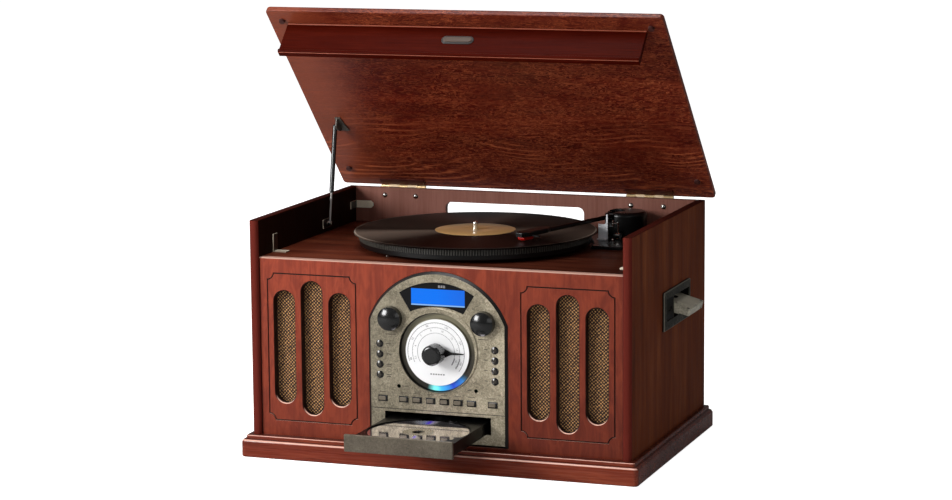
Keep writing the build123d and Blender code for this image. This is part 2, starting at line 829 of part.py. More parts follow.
belt_low = platter_low + 2.5
pulley_low = belt_low - 1
with BuildPart() as motor_pulley:
    with BuildSketch(beside_post(pulley_x, pulley_y)):
        with BuildLine():
            Polyline((0, deck_bottom - 6), (motor_shaft_radius, deck_bottom - 6),
                     (motor_shaft_radius, pulley_low), (pulley_radius + 0.8, pulley_low),
                     (pulley_radius, pulley_low + 0.6), (pulley_radius, pulley_low + belt_height + 1.2),
                     (pulley_radius + 0.8, pulley_low + belt_height + 1.8),
                     (0, pulley_low + belt_height + 1.8), close=True)
        make_face()
    revolve(axis=post_axis(pulley_x, pulley_y))


def belt_loop(gap):
    """Loop round the platter's drive ring and the motor pulley, clear of both by the gap."""
    with BuildSketch() as loop:
        with Locations((record_x, record_y)):
            Circle(drive_ring_radius + gap)
        with Locations((pulley_x, pulley_y)):
            Circle(pulley_radius + gap)
        make_hull()
    return loop.sketch


with BuildPart() as drive_belt:
    with BuildSketch(Plane.XY.offset(belt_low)):
        add(belt_loop(belt_gap + belt_thickness))
        add(belt_loop(belt_gap), mode=Mode.SUBTRACT)
    extrude(amount=belt_height - 0.6)

with BuildPart() as drive_motor:
    with BuildSketch(Plane.XY.offset(deck_bottom)):
        with Locations((pulley_x, pulley_y)):
            Circle(motor_radius)
            with GridLocations(2 * motor_radius + 4, 0, 2, 1):
                Circle(5)
    extrude(amount=-2)
    with BuildSketch(Plane.XY.offset(deck_bottom - 2)):
        with Locations((pulley_x, pulley_y)):
            Circle(motor_radius)
    extrude(amount=-motor_height)
    fillet(edges().group_by(Axis.Z)[0], 2)
    with Locations((pulley_x, pulley_y, deck_bottom)):
        Hole(motor_shaft_radius + running, depth=8)

# ================================================================ tonearm
arm_span = hypot(stylus_x - arm_x, stylus_y - arm_y)
arm_heading = atan2(stylus_y - arm_y, stylus_x - arm_x)
arm_plane = Plane(origin=(arm_x, arm_y, arm_z), x_dir=(cos(arm_heading), sin(arm_heading), 0),
                  z_dir=(0, 0, 1))
arm_upright = Plane(origin=(arm_x, arm_y, arm_z), x_dir=arm_plane.x_dir, z_dir=-arm_plane.y_dir)
arm_across = Plane(origin=(arm_x, arm_y, arm_z), x_dir=arm_plane.y_dir, z_dir=arm_plane.x_dir)
base_top = deck_top + arm_base_thickness
turret_slot = arm_hub_width + 0.8
notch_reach = 2 * arm_housing_radius
notch_inner = radians(arm_inner_swing + notch_margin)
notch_outer = radians(arm_outer_swing + notch_margin)

with BuildPart() as arm_base:
    with BuildSketch(Plane.XY.offset(deck_top)):
        with Locations(((arm_base_left + arm_base_right) / 2, (arm_base_front + arm_base_back) / 2)):
            RectangleRounded(arm_base_right - arm_base_left, arm_base_back - arm_base_front, 6)
        with Locations((record_x, record_y)):
            Circle(platter_radius + 3, mode=Mode.SUBTRACT)
    extrude(amount=arm_base_thickness)
    chamfer(edges().group_by(Axis.Z)[-1], 0.8)
    with BuildSketch(Plane.XY.offset(base_top)):
        with Locations((arm_housing_x, arm_housing_y)):
            Circle(arm_housing_radius)
    extrude(amount=arm_housing_top - base_top)
    fillet(edges().group_by(Axis.Z)[-1], 5)
    with BuildSketch(Plane.XY.offset(turret_foot - slip)):
        with Locations((arm_x, arm_y)):
            Circle(turret_radius + slip)
    extrude(amount=arm_housing_top - turret_foot + slip, mode=Mode.SUBTRACT)
    with BuildSketch(arm_plane.offset(turret_foot - slip - arm_z)):
        with BuildLine():
            Polyline((0, 0), (notch_reach * cos(notch_outer), notch_reach * sin(notch_outer)),
                     (notch_reach * cos(notch_inner), -notch_reach * sin(notch_inner)), close=True)
        make_face()
    extrude(amount=arm_housing_top - turret_foot + slip, mode=Mode.SUBTRACT)
    with Locations((arm_x, arm_y, turret_foot - slip)):
        Hole(turret_post_radius + running, depth=turret_foot - slip - deck_top - 1.5)
    with BuildSketch(facing_right(cue_x - cue_ear_width / 2)):
        with BuildLine():
            Polyline((cue_y - 4, base_top), (cue_y + 4, base_top), (cue_y + 3, cue_z))
            ThreePointArc((cue_y + 3, cue_z), (cue_y, cue_z + 3), (cue_y - 3, cue_z))
            Line((cue_y - 3, cue_z), (cue_y - 4, base_top))
        make_face()
    extrude(amount=cue_ear_width)
    with BuildSketch(facing_right(cue_x - cue_gap / 2)):
        with Locations((cue_y, base_top + 7)):
            Rectangle(20, 14)
    extrude(amount=cue_gap, mode=Mode.SUBTRACT)
    with BuildSketch(facing_right(cue_x - cue_ear_width / 2)):
        with Locations((cue_y, cue_z)):
            Circle(arm_pin_radius + running)
    extrude(amount=cue_ear_width, mode=Mode.SUBTRACT)
    with BuildSketch(Plane.XY.offset(base_top)):
        with Locations((speed_x, speed_y)):
            SlotOverall(2 * speed_throw + 7, 3.4)
    extrude(amount=-2.5, mode=Mode.SUBTRACT)

with BuildPart() as arm_turret:
    with BuildSketch(beside_post(arm_x, arm_y)):
        with BuildLine():
            Polyline((0, turret_foot - 10), (turret_post_radius, turret_foot - 10),
                     (turret_post_radius, turret_foot), (turret_radius, turret_foot),
                     (turret_radius, turret_top - 3))
            TangentArc((0, turret_top), (turret_radius, turret_top - 3), tangent=(1, 0))
            Line((0, turret_top), (0, turret_foot - 10))
        make_face()
    revolve(axis=post_axis(arm_x, arm_y))
    with BuildSketch(arm_plane.offset(turret_foot + 3 - arm_z)):
        with Locations((2, 0)):
            Rectangle(2 * turret_radius, turret_slot)
    extrude(amount=turret_top, mode=Mode.SUBTRACT)
    with BuildSketch(arm_upright.offset(-turret_radius)):
        Circle(arm_pin_radius + running)
    extrude(amount=2 * turret_radius, mode=Mode.SUBTRACT)

shell_end = arm_span + headshell_nose
shell_start = shell_end - headshell_length


def headshell_outline(inset):
    """Plan of the headshell, which tapers to the tube at its back and is clipped at its nose."""
    half = headshell_width / 2
    with BuildSketch() as outline:
        with BuildLine():
            Polyline((shell_start, -arm_tube_radius), (shell_start + 14, -half), (shell_end - 8, -half),
                     (shell_end, -half + 4), (shell_end, half - 4), (shell_end - 8, half),
                     (shell_start + 14, half), (shell_start, arm_tube_radius), close=True)
        make_face()
        if inset:
            offset(amount=-inset)
    return outline.sketch


with BuildPart() as tonearm:
    with BuildSketch(arm_upright.offset(-arm_hub_width / 2)):
        with BuildLine():
            Polyline((-6, -3.5), (9, -3.5), (9, 3.5), (-2, 3.5), (-6, 0), close=True)
        make_face()
    extrude(amount=arm_hub_width)
    with BuildSketch(arm_across.offset(6)):
        Circle(arm_tube_radius)
    extrude(amount=shell_start - 4)
    with BuildSketch(arm_plane.offset(-headshell_drop)):
        add(headshell_outline(0))
    extrude(amount=headshell_height)
    fillet(faces().filter_by(Axis.Z).sort_by(Axis.Z)[-1].edges(), 1.4)
    with BuildSketch(arm_plane.offset(-headshell_drop)):
        add(headshell_outline(headshell_wall))
    extrude(amount=headshell_height - headshell_wall, mode=Mode.SUBTRACT)
    with BuildSketch(arm_plane.offset(-1)):
        with Locations((shell_end - 15, headshell_width / 2 + 5)):
            SlotOverall(14, 4, rotation=90)
    extrude(amount=1.4)
    with BuildSketch(arm_upright.offset(-turret_slot / 2 - arm_pin_reach)):
        Circle(arm_pin_radius)
    extrude(amount=turret_slot + 2 * arm_pin_reach)

needle_low = record_top + stylus_gap - arm_z
shell_roof = headshell_height - headshell_drop - headshell_wall
shoe_top = 1 - headshell_drop
shoe_low = needle_low + needle_length
with BuildPart() as cartridge:
    with BuildSketch(arm_plane.offset(shoe_top)):
        with Locations((arm_span - cartridge_setback, 0)):
            Rectangle(cartridge_length, cartridge_width)
    extrude(amount=shell_roof - shoe_top)
    with BuildSketch(arm_upright.offset(-cartridge_width / 2 + 0.5)):
        with BuildLine():
            Polyline((arm_span - 17, shoe_top), (arm_span + 4, shoe_top), (arm_span + 4, shoe_low + 2),
                     (arm_span + 2.5, shoe_low), (arm_span - 13, shoe_low),
                     (arm_span - 17, shoe_low + 2.5), close=True)
        make_face()
    extrude(amount=cartridge_width - 1)
    with BuildSketch(arm_plane.offset(shoe_low)):
        with Locations((arm_span, 0)):
            Circle(0.6)
    extrude(amount=-needle_length, taper=15)

rest_left = rest_face_x - rest_width
with BuildPart() as cue_lever:
    with BuildSketch(facing_right(cue_x - 2.5)):
        with Locations((cue_y, cue_z)):
            Circle(2.9)
    extrude(amount=5)
    with BuildSketch(facing_right(cue_x - cue_ear_width / 2)):
        with Locations((cue_y, cue_z)):
            Circle(arm_pin_radius)
    extrude(amount=cue_ear_width)
    with BuildSketch(Plane.XY.offset(cue_z + 2)):
        with Locations((cue_x, cue_y)):
            Circle(cue_rod_radius)
    extrude(amount=cue_length)
    with BuildSketch(facing_right(cue_x - cue_reach)):
        with Locations((cue_y, cue_z + cue_length)):
            Circle(cue_rod_radius - 0.3)
    extrude(amount=cue_reach)
    with BuildSketch(Plane.XY.offset(cue_z + cue_length - 3.5)):
        with Locations((cue_x - cue_reach, cue_y)):
            Circle(cue_rod_radius)
    extrude(amount=7)

with BuildPart() as speed_switch:
    with BuildSketch(Plane.XY.offset(base_top - 2)):
        with Locations((speed_x, speed_y)):
            Rectangle(5, 2.8)
    extrude(amount=2.4)
    with BuildSketch(Plane.XY.offset(base_top + 0.4)):
        with Locations((speed_x, speed_y)):
            Circle(2.6)
    extrude(amount=1)
    with BuildSketch(Plane.XY.offset(base_top + 1.4)):
        with Locations((speed_x, speed_y)):
            Circle(1.6)
    extrude(amount=4.5)
    fillet(edges().group_by(Axis.Z)[-1], 1)

# ================================================================ lid, modelled on its open plane
swing = radians(lid_open_angle)
lid_plane = Plane(origin=(0, hinge_y, hinge_z), x_dir=(1, 0, 0), z_dir=(0, sin(swing), cos(swing)))
lid_side = Plane(origin=(0, hinge_y, hinge_z), x_dir=lid_plane.y_dir, z_dir=(1, 0, 0))
lid_back_edge = lid_past_hinge
lid_front_edge = body_front - lid_front_overhang - hinge_y
lid_width = cabinet_width + 2 * lid_overhang
apron_face = front_face + apron_setback - hinge_y
apron_back = apron_face + apron_thickness
apron_low = deck_top + apron_gap - hinge_z
apron_half = inner_half - apron_side_gap
with BuildPart() as lid:
    with BuildSketch(lid_plane.offset(hinge_to_lid)):
        with Locations((0, (lid_back_edge + lid_front_edge) / 2)):
            RectangleRounded(lid_width, lid_back_edge - lid_front_edge, lid_corner)
    extrude(amount=lid_thickness)
    lid_faces = faces().sort_by(Axis(lid_plane.origin, lid_plane.z_dir))
    fillet(lid_faces[-1].edges(), lid_outer_round)
    lid_faces = faces().sort_by(Axis(lid_plane.origin, lid_plane.z_dir))
    fillet(lid_faces[0].edges(), lid_inner_round)

with BuildPart() as lid_apron:
    with BuildSketch(lid_side.offset(-apron_half)):
        with BuildLine():
            Polyline((apron_back, hinge_to_lid), (apron_face, hinge_to_lid),
                     (apron_face, apron_low + 2 * apron_bead))
            ThreePointArc((apron_face, apron_low + 2 * apron_bead),
                          (apron_face - apron_bead, apron_low + apron_bead), (apron_face, apron_low))
            Polyline((apron_face, apron_low), (apron_back, apron_low), (apron_back, hinge_to_lid))
        make_face()
    extrude(amount=2 * apron_half)

knuckle = (hinge_length - 4 * knuckle_gap) / 5
knuckle_starts = [-hinge_length / 2 + place * (knuckle + knuckle_gap) for place in range(5)]

# ---------------------------------------------------------------- stay
lean = radians(stay_lean)
stay_plane = Plane(origin=(stay_x, stay_y, stay_z), x_dir=(1, 0, 0), z_dir=(0, sin(lean), cos(lean)))
plate_face = hinge_to_lid - leaf_thickness
pivot_below_lid = plate_face - ((stay_y - hinge_y) * sin(swing) + (stay_z - hinge_z) * cos(swing))
rod_rise = cos(swing - lean)
stay_length = (pivot_below_lid - stay_sleeve_radius - stay_head_gap) / rod_rise
sleeve_start = stay_length - stay_sleeve_length
with BuildPart() as stay_rod:
    with BuildSketch(Plane(origin=stay_plane.origin, x_dir=(1, 0, 0), z_dir=-stay_plane.y_dir)):
        with BuildLine():
            Polyline((0, stay_pin_radius + 1), (stay_rod_radius, stay_pin_radius + 1),
                     (stay_rod_radius, sleeve_start), (stay_sleeve_radius - 0.8, sleeve_start),
                     (stay_sleeve_radius, sleeve_start + 1.5), (stay_sleeve_radius, stay_length))
            TangentArc((0, stay_length + stay_sleeve_radius), (stay_sleeve_radius, stay_length),
                       tangent=(1, 0))
            Line((0, stay_length + stay_sleeve_radius), (0, stay_pin_radius + 1))
        make_face()
    revolve(axis=Axis(stay_plane.origin, stay_plane.z_dir))
    with BuildSketch(facing_right(stay_x - stay_eye_width / 2)):
        with Locations((stay_y, stay_z)):
            Circle(stay_eye_radius)
    extrude(amount=stay_eye_width)
    with BuildSketch(facing_right(stay_x - stay_eye_width / 2)):
        with Locations((stay_y, stay_z)):
            Circle(stay_pin_radius + running)
    extrude(amount=stay_eye_width, mode=Mode.SUBTRACT)

head_y = stay_y + stay_length * sin(lean)
head_z = stay_z + stay_length * cos(lean)
head_v = (head_y - hinge_y) * cos(swing) - (head_z - hinge_z) * sin(swing)
cheek_x = stay_x + stay_sleeve_radius + stay_cheek_gap
with BuildPart() as lid_fittings:
    for centre in (-hinge_x, hinge_x):
        for start in knuckle_starts[1::2]:
            with BuildSketch(lid_side.offset(centre + start)):
                Circle(hinge_radius)
                with Locations((-3, hinge_to_lid - leaf_thickness / 2)):
                    Rectangle(6, leaf_thickness)
                Circle(hinge_pin_radius + running, mode=Mode.SUBTRACT)
            extrude(amount=knuckle)
        with BuildSketch(lid_side.offset(centre - hinge_length / 2)):
            with Locations((-hinge_back - lid_leaf_width / 2, hinge_to_lid - leaf_thickness / 2)):
                Rectangle(lid_leaf_width, leaf_thickness)
        extrude(amount=hinge_length)
    with BuildSketch(lid_plane.offset(hinge_to_lid)):
        with BuildLine():
            Polyline((cheek_x - 2, head_v - 13), (cheek_x + 5, head_v - 13), (cheek_x + 11, head_v + 13),
                     (cheek_x - 2, head_v + 13), close=True)
        make_face()
    extrude(amount=-leaf_thickness)
    with BuildSketch(lid_side.offset(cheek_x)):
        with BuildLine():
            Polyline((head_v - 12, plate_face), (head_v + 12, plate_face), (head_v + 7, plate_face - 6),
                     (head_v - 3, plate_face - 10), (head_v - 8, plate_face - 9), close=True)
        make_face()
    extrude(amount=stay_cheek_thickness)

with BuildPart() as lid_bumpers:
    with BuildSketch(lid_plane.offset(hinge_to_lid)):
        for bumper_y in (body_front + bumper_front_margin, body_back - bumper_rear_margin):
            with Locations((-bumper_x, bumper_y - hinge_y), (bumper_x, bumper_y - hinge_y)):
                Circle(bumper_radius)
    extrude(amount=-bumper_height, taper=8)

# ================================================================ cabinet fittings


def screw_head(x, y, z, radius, height):
    """Domed head standing proud of an upright face; a negative height faces the front."""
    with BuildPart() as head:
        with BuildSketch(Plane(origin=(x, y, z), x_dir=(0, 1, 0), z_dir=(1, 0, 0))):
            with BuildLine():
                Polyline((height, 0), (0, 0), (0, radius))
                TangentArc((height, 0), (0, radius), tangent=(0, 1))
            make_face()
        revolve(axis=shaft_axis(x, z))
    return head.part


with BuildPart() as cabinet_hinges:
    for centre in (-hinge_x, hinge_x):
        for start in knuckle_starts[0::2]:
            with BuildSketch(facing_right(centre + start)):
                with Locations((hinge_y, hinge_z)):
                    Circle(hinge_radius)
                with Locations((body_back + leaf_thickness / 2 + 0.4, hinge_z - 2)):
                    Rectangle(leaf_thickness + 0.8, 4)
            extrude(amount=knuckle)
        with BuildSketch(facing_right(centre - hinge_length / 2)):
            with Locations((body_back + leaf_thickness / 2, hinge_z - 3.5 - leaf_width / 2)):
                Rectangle(leaf_thickness, leaf_width)
            with Locations((hinge_y, hinge_z)):
                Circle(hinge_pin_radius)
        extrude(amount=hinge_length)

with BuildPart() as screws:
    for centre in (-hinge_x, hinge_x):
        for reach in (-hinge_bolt_reach, hinge_bolt_reach):
            add(screw_head(centre + reach, rear_inner, side_top - 10, 3.6, -2.2))
    for screw_x in rear_screw_xs:
        for screw_z in rear_screw_zs:
            add(screw_head(screw_x, body_back, screw_z, 3.4, 1.9))
    with BuildSketch(beside_post(*transit_place)):
        with BuildLine():
            Polyline((0, deck_top), (transit_radius, deck_top), (transit_radius, deck_top + 1.5))
            TangentArc((0, deck_top + transit_height), (transit_radius, deck_top + 1.5), tangent=(0, 1))
            Line((0, deck_top + transit_height), (0, deck_top))
        make_face()
    revolve(axis=post_axis(*transit_place))

bracket_tip = bracket_reach - bracket_point
with BuildPart() as brackets:
    for sign in (-1, 1):
        wall = sign * inner_half
        with BuildSketch(facing_right(min(wall, wall - sign * bracket_thickness))):
            with Locations((bracket_front, deck_top + 11)):
                Rectangle(12, 22)
            with Locations((rear_inner - 10, bracket_high)):
                Rectangle(20, bracket_width)
        extrude(amount=bracket_thickness)
        with BuildSketch(Plane.XY.offset(deck_top)):
            with Locations((wall - sign * 9, bracket_front)):
                RectangleRounded(18, 12, 3)
        extrude(amount=bracket_thickness)
        with BuildSketch(facing_front(rear_inner)):
            with BuildLine():
                half = bracket_width / 2
                Polyline((wall, bracket_high - half), (wall - sign * bracket_tip, bracket_high - half),
                         (wall - sign * bracket_reach, bracket_high - half / 3),
                         (wall - sign * bracket_reach, bracket_high + half / 3),
                         (wall - sign * bracket_tip, bracket_high + half), (wall, bracket_high + half),
                         close=True)
            make_face()
        extrude(amount=bracket_thickness)
    with BuildSketch(facing_right(-inner_half)):
        with Locations((stay_y - 2, stay_z)):
            RectangleRounded(22, 12, 2)
    extrude(amount=bracket_thickness)
    with BuildSketch(facing_right(-inner_half)):
        with Locations((stay_y, stay_z)):
            Circle(stay_pin_radius)
    extrude(amount=inner_half + stay_x + stay_eye_width / 2 + 0.6)

with BuildPart() as spindle_bush:
    with BuildSketch(Plane.XY.offset(deck_bottom)):
        with Locations((record_x, record_y)):
            Circle(bush_radius)
            Circle(spindle_radius + running, mode=Mode.SUBTRACT)
    extrude(amount=deck_thickness + 0.5)

with BuildPart() as arm_rest:
    with BuildSketch(facing_front(rest_y + rest_thickness)):
        with BuildLine():
            Polyline((rest_left, base_top), (rest_face_x + 2, base_top),
                     (rest_face_x + 2, rest_prong_top), (rest_face_x, rest_prong_top),
                     (rest_face_x, rest_low_top + 2), (rest_face_x - 2, rest_low_top),
                     (rest_left + 2, rest_low_top), (rest_left, rest_low_top + 0.6), close=True)
        make_face()
    extrude(amount=rest_thickness)
    with BuildSketch(Plane.XY.offset(base_top)):
        with Locations(((rest_left + rest_face_x + 2) / 2, rest_y - 4)):
            RectangleRounded(rest_face_x + 2 - rest_left, 9, 1.5)
    extrude(amount=1.2)

# ================================================================ electrics
with BuildPart() as circuit_boards:
    with BuildSketch(facing_front(board_face + board_thickness)):
        add(arch(panel_wall + 1))
        with Locations((0, panel_bottom)):
            Rectangle(2 * panel_half_width, 2 * (board_low - panel_bottom), mode=Mode.SUBTRACT)
    extrude(amount=board_thickness)
    with BuildSketch(facing_front(board_face)):
        with Locations((-knob_x, knob_z), (knob_x, knob_z)):
            Circle(control_radius)
    extrude(amount=board_face - wall_back - slip)
    with BuildSketch(facing_front(board_face)):
        with Locations((0, dial_z)):
            Circle(control_radius)
    extrude(amount=board_face - dial_back - slip)
    with BuildSketch(facing_front(wall_back)):
        with Locations((-knob_x, knob_z), (knob_x, knob_z), (0, dial_z)):
            Circle(shaft_radius + running)
    extrude(amount=-panel_depth, mode=Mode.SUBTRACT)
    with BuildSketch(Plane.XY.offset(floor_thickness + main_board_rise)):
        with Locations(main_board_place):
            Rectangle(main_board_width, main_board_depth)
    extrude(amount=board_thickness)
    with BuildSketch(Plane.XY.offset(floor_thickness)):
        with Locations(main_board_place):
            with GridLocations(main_board_width - 14, main_board_depth - 14, 2, 2):
                Circle(3)
    extrude(amount=main_board_rise)
    with BuildSketch(Plane.XY.offset(floor_thickness)):
        with Locations(transformer_place):
            RectangleRounded(transformer_width, transformer_depth, 4)
    extrude(amount=transformer_height)
    with BuildSketch(facing_front(rear_inner)):
        with Locations(jack_place):
            Rectangle(jack_width + 12, jack_height + 12)
        with Locations(inlet_place):
            Rectangle(inlet_width + 8, inlet_height + 8)
    extrude(amount=2)
    with BuildSketch(facing_front(rear_inner + 8)):
        with Locations(jack_place):
            with GridLocations(22, 0, 4, 1):
                Circle(4.2)
                Circle(1.8, mode=Mode.SUBTRACT)
    extrude(amount=8)
    with BuildSketch(facing_front(rear_inner + 6)):
        with Locations(inlet_place):
            RectangleRounded(inlet_width - 1, inlet_height - 1, 1.5)
            SlotOverall(13, 7, mode=Mode.SUBTRACT)
    extrude(amount=6)

pieces = {
    "plinth": plinth,
    "side_left": side_left,
    "side_right": side_right,
    "front_panel": front_panel,
    "rear_panel": rear_panel,
    "deck": deck,
    "control_panel": control_panel,
    "display_window": display_window,
    "dial_face": dial_face,
    "volume_knob": volume_knob,
    "function_knob": function_knob,
    "tuning_knob": tuning_knob,
    "dial_pointer": dial_pointer,
    "grille_cloths": grille_cloths,
    "speakers": speakers,
    "cd_tray": cd_tray,
    "tray_front": tray_front,
    "compact_disc": compact_disc,
    "disc_drive": disc_drive,
    "cassette_deck": cassette_deck,
    "eject_key": eject_key,
    "cassette": cassette,
    "platter": platter,
    "record": record,
    "motor_pulley": motor_pulley,
    "drive_belt": drive_belt,
    "drive_motor": drive_motor,
    "arm_base": arm_base,
    "arm_turret": arm_turret,
    "tonearm": tonearm,
    "cartridge": cartridge,
    "cue_lever": cue_lever,
    "speed_switch": speed_switch,
    "lid": lid,
    "lid_apron": lid_apron,
    "lid_fittings": lid_fittings,
    "lid_bumpers": lid_bumpers,
    "stay_rod": stay_rod,
    "cabinet_hinges": cabinet_hinges,
    "brackets": brackets,
    "screws": screws,
    "spindle_bush": spindle_bush,
    "arm_rest": arm_rest,
    "circuit_boards": circuit_boards,
    **round_buttons,
    **row_keys,
}

os.makedirs("parts", exist_ok=True)
for label, piece in pieces.items():
    piece.part.label = label
    export_step(piece.part, f"parts/{label}.step")
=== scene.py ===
"""Looks of the stereo music centre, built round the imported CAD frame. Metres, +X right, +Y back, +Z up."""
import bmesh
import bpy
import json
from math import cos, pi, radians, sin
from mathutils import Matrix, Vector

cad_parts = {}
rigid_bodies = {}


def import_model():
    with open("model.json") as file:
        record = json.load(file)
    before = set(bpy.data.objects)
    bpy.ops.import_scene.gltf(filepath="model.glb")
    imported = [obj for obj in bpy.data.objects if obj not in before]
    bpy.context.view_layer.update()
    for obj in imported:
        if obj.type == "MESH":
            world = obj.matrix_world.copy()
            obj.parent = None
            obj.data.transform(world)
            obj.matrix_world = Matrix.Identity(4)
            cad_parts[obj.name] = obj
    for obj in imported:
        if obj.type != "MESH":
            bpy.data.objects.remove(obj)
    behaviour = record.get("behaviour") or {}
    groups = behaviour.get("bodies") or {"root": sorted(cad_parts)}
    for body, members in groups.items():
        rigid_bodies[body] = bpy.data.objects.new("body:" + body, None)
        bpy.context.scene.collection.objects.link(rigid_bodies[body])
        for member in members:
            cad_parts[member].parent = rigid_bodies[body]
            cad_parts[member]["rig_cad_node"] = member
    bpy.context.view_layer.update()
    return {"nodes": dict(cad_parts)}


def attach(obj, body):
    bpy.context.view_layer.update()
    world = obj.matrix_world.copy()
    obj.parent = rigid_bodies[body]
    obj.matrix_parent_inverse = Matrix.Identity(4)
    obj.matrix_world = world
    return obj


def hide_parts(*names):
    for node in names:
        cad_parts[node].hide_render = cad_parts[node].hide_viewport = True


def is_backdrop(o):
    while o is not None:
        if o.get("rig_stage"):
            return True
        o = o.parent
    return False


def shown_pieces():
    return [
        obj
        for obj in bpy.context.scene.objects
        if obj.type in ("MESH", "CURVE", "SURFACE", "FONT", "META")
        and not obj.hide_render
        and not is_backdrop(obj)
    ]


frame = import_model()
nodes = frame["nodes"]
MM = 0.001

# Places and sizes on the object, in mm
RECORD_AXIS = (-9.5, 9.75)
HINGE_Y, HINGE_Z = 173.25, 292.0
DIAL_Z = 142.0
DISC_Y = -219.75
PANEL_FACE = -155.3
DIAL_INK_FACE, NUMERAL_FACE = -154.31, -154.28
LENS_INK_FACE = -154.75
BUTTON_X, KNOB_X = 73.2, 58.8
ROW_KEY_XS = (-69.9, -43.3, -26.0, -8.7, 8.7, 26.0, 43.3, 69.9)
BUTTON_ZS = (149.0, 136.4, 123.8, 111.2)
SPEAKER_X, SPEAKER_Z = 162.5, 136.5
CLOTH_WIDTH, CLOTH_HEIGHT = 114, 174


# ------------------------------------------------------------------ materials
def linear(*rgb):
    """sRGB numbers from 0 to 255 as a linear colour."""
    values = [c / 255 for c in rgb]
    return tuple(v / 12.92 if v <= 0.04045 else ((v + 0.055) / 1.055) ** 2.4 for v in values) + (1.0,)


class Shade:
    """A node material, with short calls for the nodes that this scene uses."""

    def __init__(self, name, **values):
        self.material = bpy.data.materials.new(name)
        self.material.use_nodes = True
        self.tree = self.material.node_tree
        self.shader = self.tree.nodes["Principled BSDF"]
        coordinates = self.node("TexCoord")
        self.place, self.normal = coordinates.outputs["Object"], coordinates.outputs["Normal"]
        self.set(**values)

    def put(self, socket, value):
        if isinstance(value, bpy.types.NodeSocket):
            self.tree.links.new(value, socket)
        else:
            socket.default_value = value

    def set(self, **values):
        for key, value in values.items():
            self.put(self.shader.inputs[key.replace("_", " ").title().replace("Ior", "IOR")], value)
        return self

    def node(self, kind, inputs=None, **settings):
        made = self.tree.nodes.new("ShaderNode" + kind)
        for key, value in settings.items():
            setattr(made, key, value)
        for key, value in (inputs or {}).items():
            self.put(made.inputs[key], value)
        return made

    def math(self, operation, a, b=0.0, clamp=False):
        return self.node("Math", {0: a, 1: b}, operation=operation, use_clamp=clamp).outputs[0]

    def fit(self, value, low, high, start=0.0, end=1.0):
        """start where the value is low, end where it is high, and a straight change between."""
        return self.node("MapRange", {0: value, 1: low, 2: high, 3: start, 4: end}).outputs[0]

    def dot(self, vector, way):
        return self.node("VectorMath", {0: vector, 1: way}, operation="DOT_PRODUCT").outputs["Value"]

    def stretch(self, scale, vector=None):
        return self.node("Mapping", {"Vector": vector or self.place, "Scale": scale}).outputs[0]

    def split(self, vector=None):
        return self.node("SeparateXYZ", {0: vector or self.place}).outputs

    def noise(self, scale, detail=3.0, rough=0.5, warp=0.0, vector=None):
        return self.node("TexNoise", {"Vector": vector or self.place, "Scale": scale, "Detail": detail,
                                      "Roughness": rough, "Distortion": warp}).outputs["Fac"]

    def ramp(self, factor, *stops):
        made = self.node("ValToRGB", {0: factor})
        band = made.color_ramp
        while len(band.elements) < len(stops):
            band.elements.new(0.5)
        for element, (place, colour) in zip(band.elements, stops):
            element.position = place
            element.color = colour if isinstance(colour, tuple) else (colour, colour, colour, 1.0)
        return made.outputs[0]

    def mix(self, factor, a, b, blend="MIX"):
        made = self.node("Mix", data_type="RGBA", blend_type=blend)
        for index, value in ((0, factor), (6, a), (7, b)):
            self.put(made.inputs[index], value)
        return made.outputs[2]

    def grey(self, level):
        return self.node("CombineColor", {0: level, 1: level, 2: level}).outputs[0]

    def colour_so_far(self):
        return self.shader.inputs["Base Color"].links[0].from_socket

    def bump(self, height, depth, strength=1.0, under=None):
        made = self.node("Bump", {"Height": height, "Distance": depth, "Strength": strength})
        if under is not None:
            self.put(made.inputs["Normal"], under)
        return made.outputs[0]

    def radius(self, centre, plane="xz"):
        """Distance from a centre line, and the angle round it from +X, counter-clockwise."""
        axes = ["xyz".index(c) for c in plane]
        parts = self.split()
        a = self.math("SUBTRACT", parts[axes[0]], centre[0])
        b = self.math("SUBTRACT", parts[axes[1]], centre[1])
        squares = self.math("ADD", self.math("MULTIPLY", a, a), self.math("MULTIPLY", b, b))
        return self.math("SQRT", squares), self.math("ARCTAN2", b, a)

    def between(self, value, low, high, soft=0.0002):
        """1 where the value lies from low to high, with soft edges."""
        rise = self.fit(value, low - soft, low + soft)
        fall = self.fit(value, high - soft, high + soft)
        return self.math("SUBTRACT", rise, fall, clamp=True)


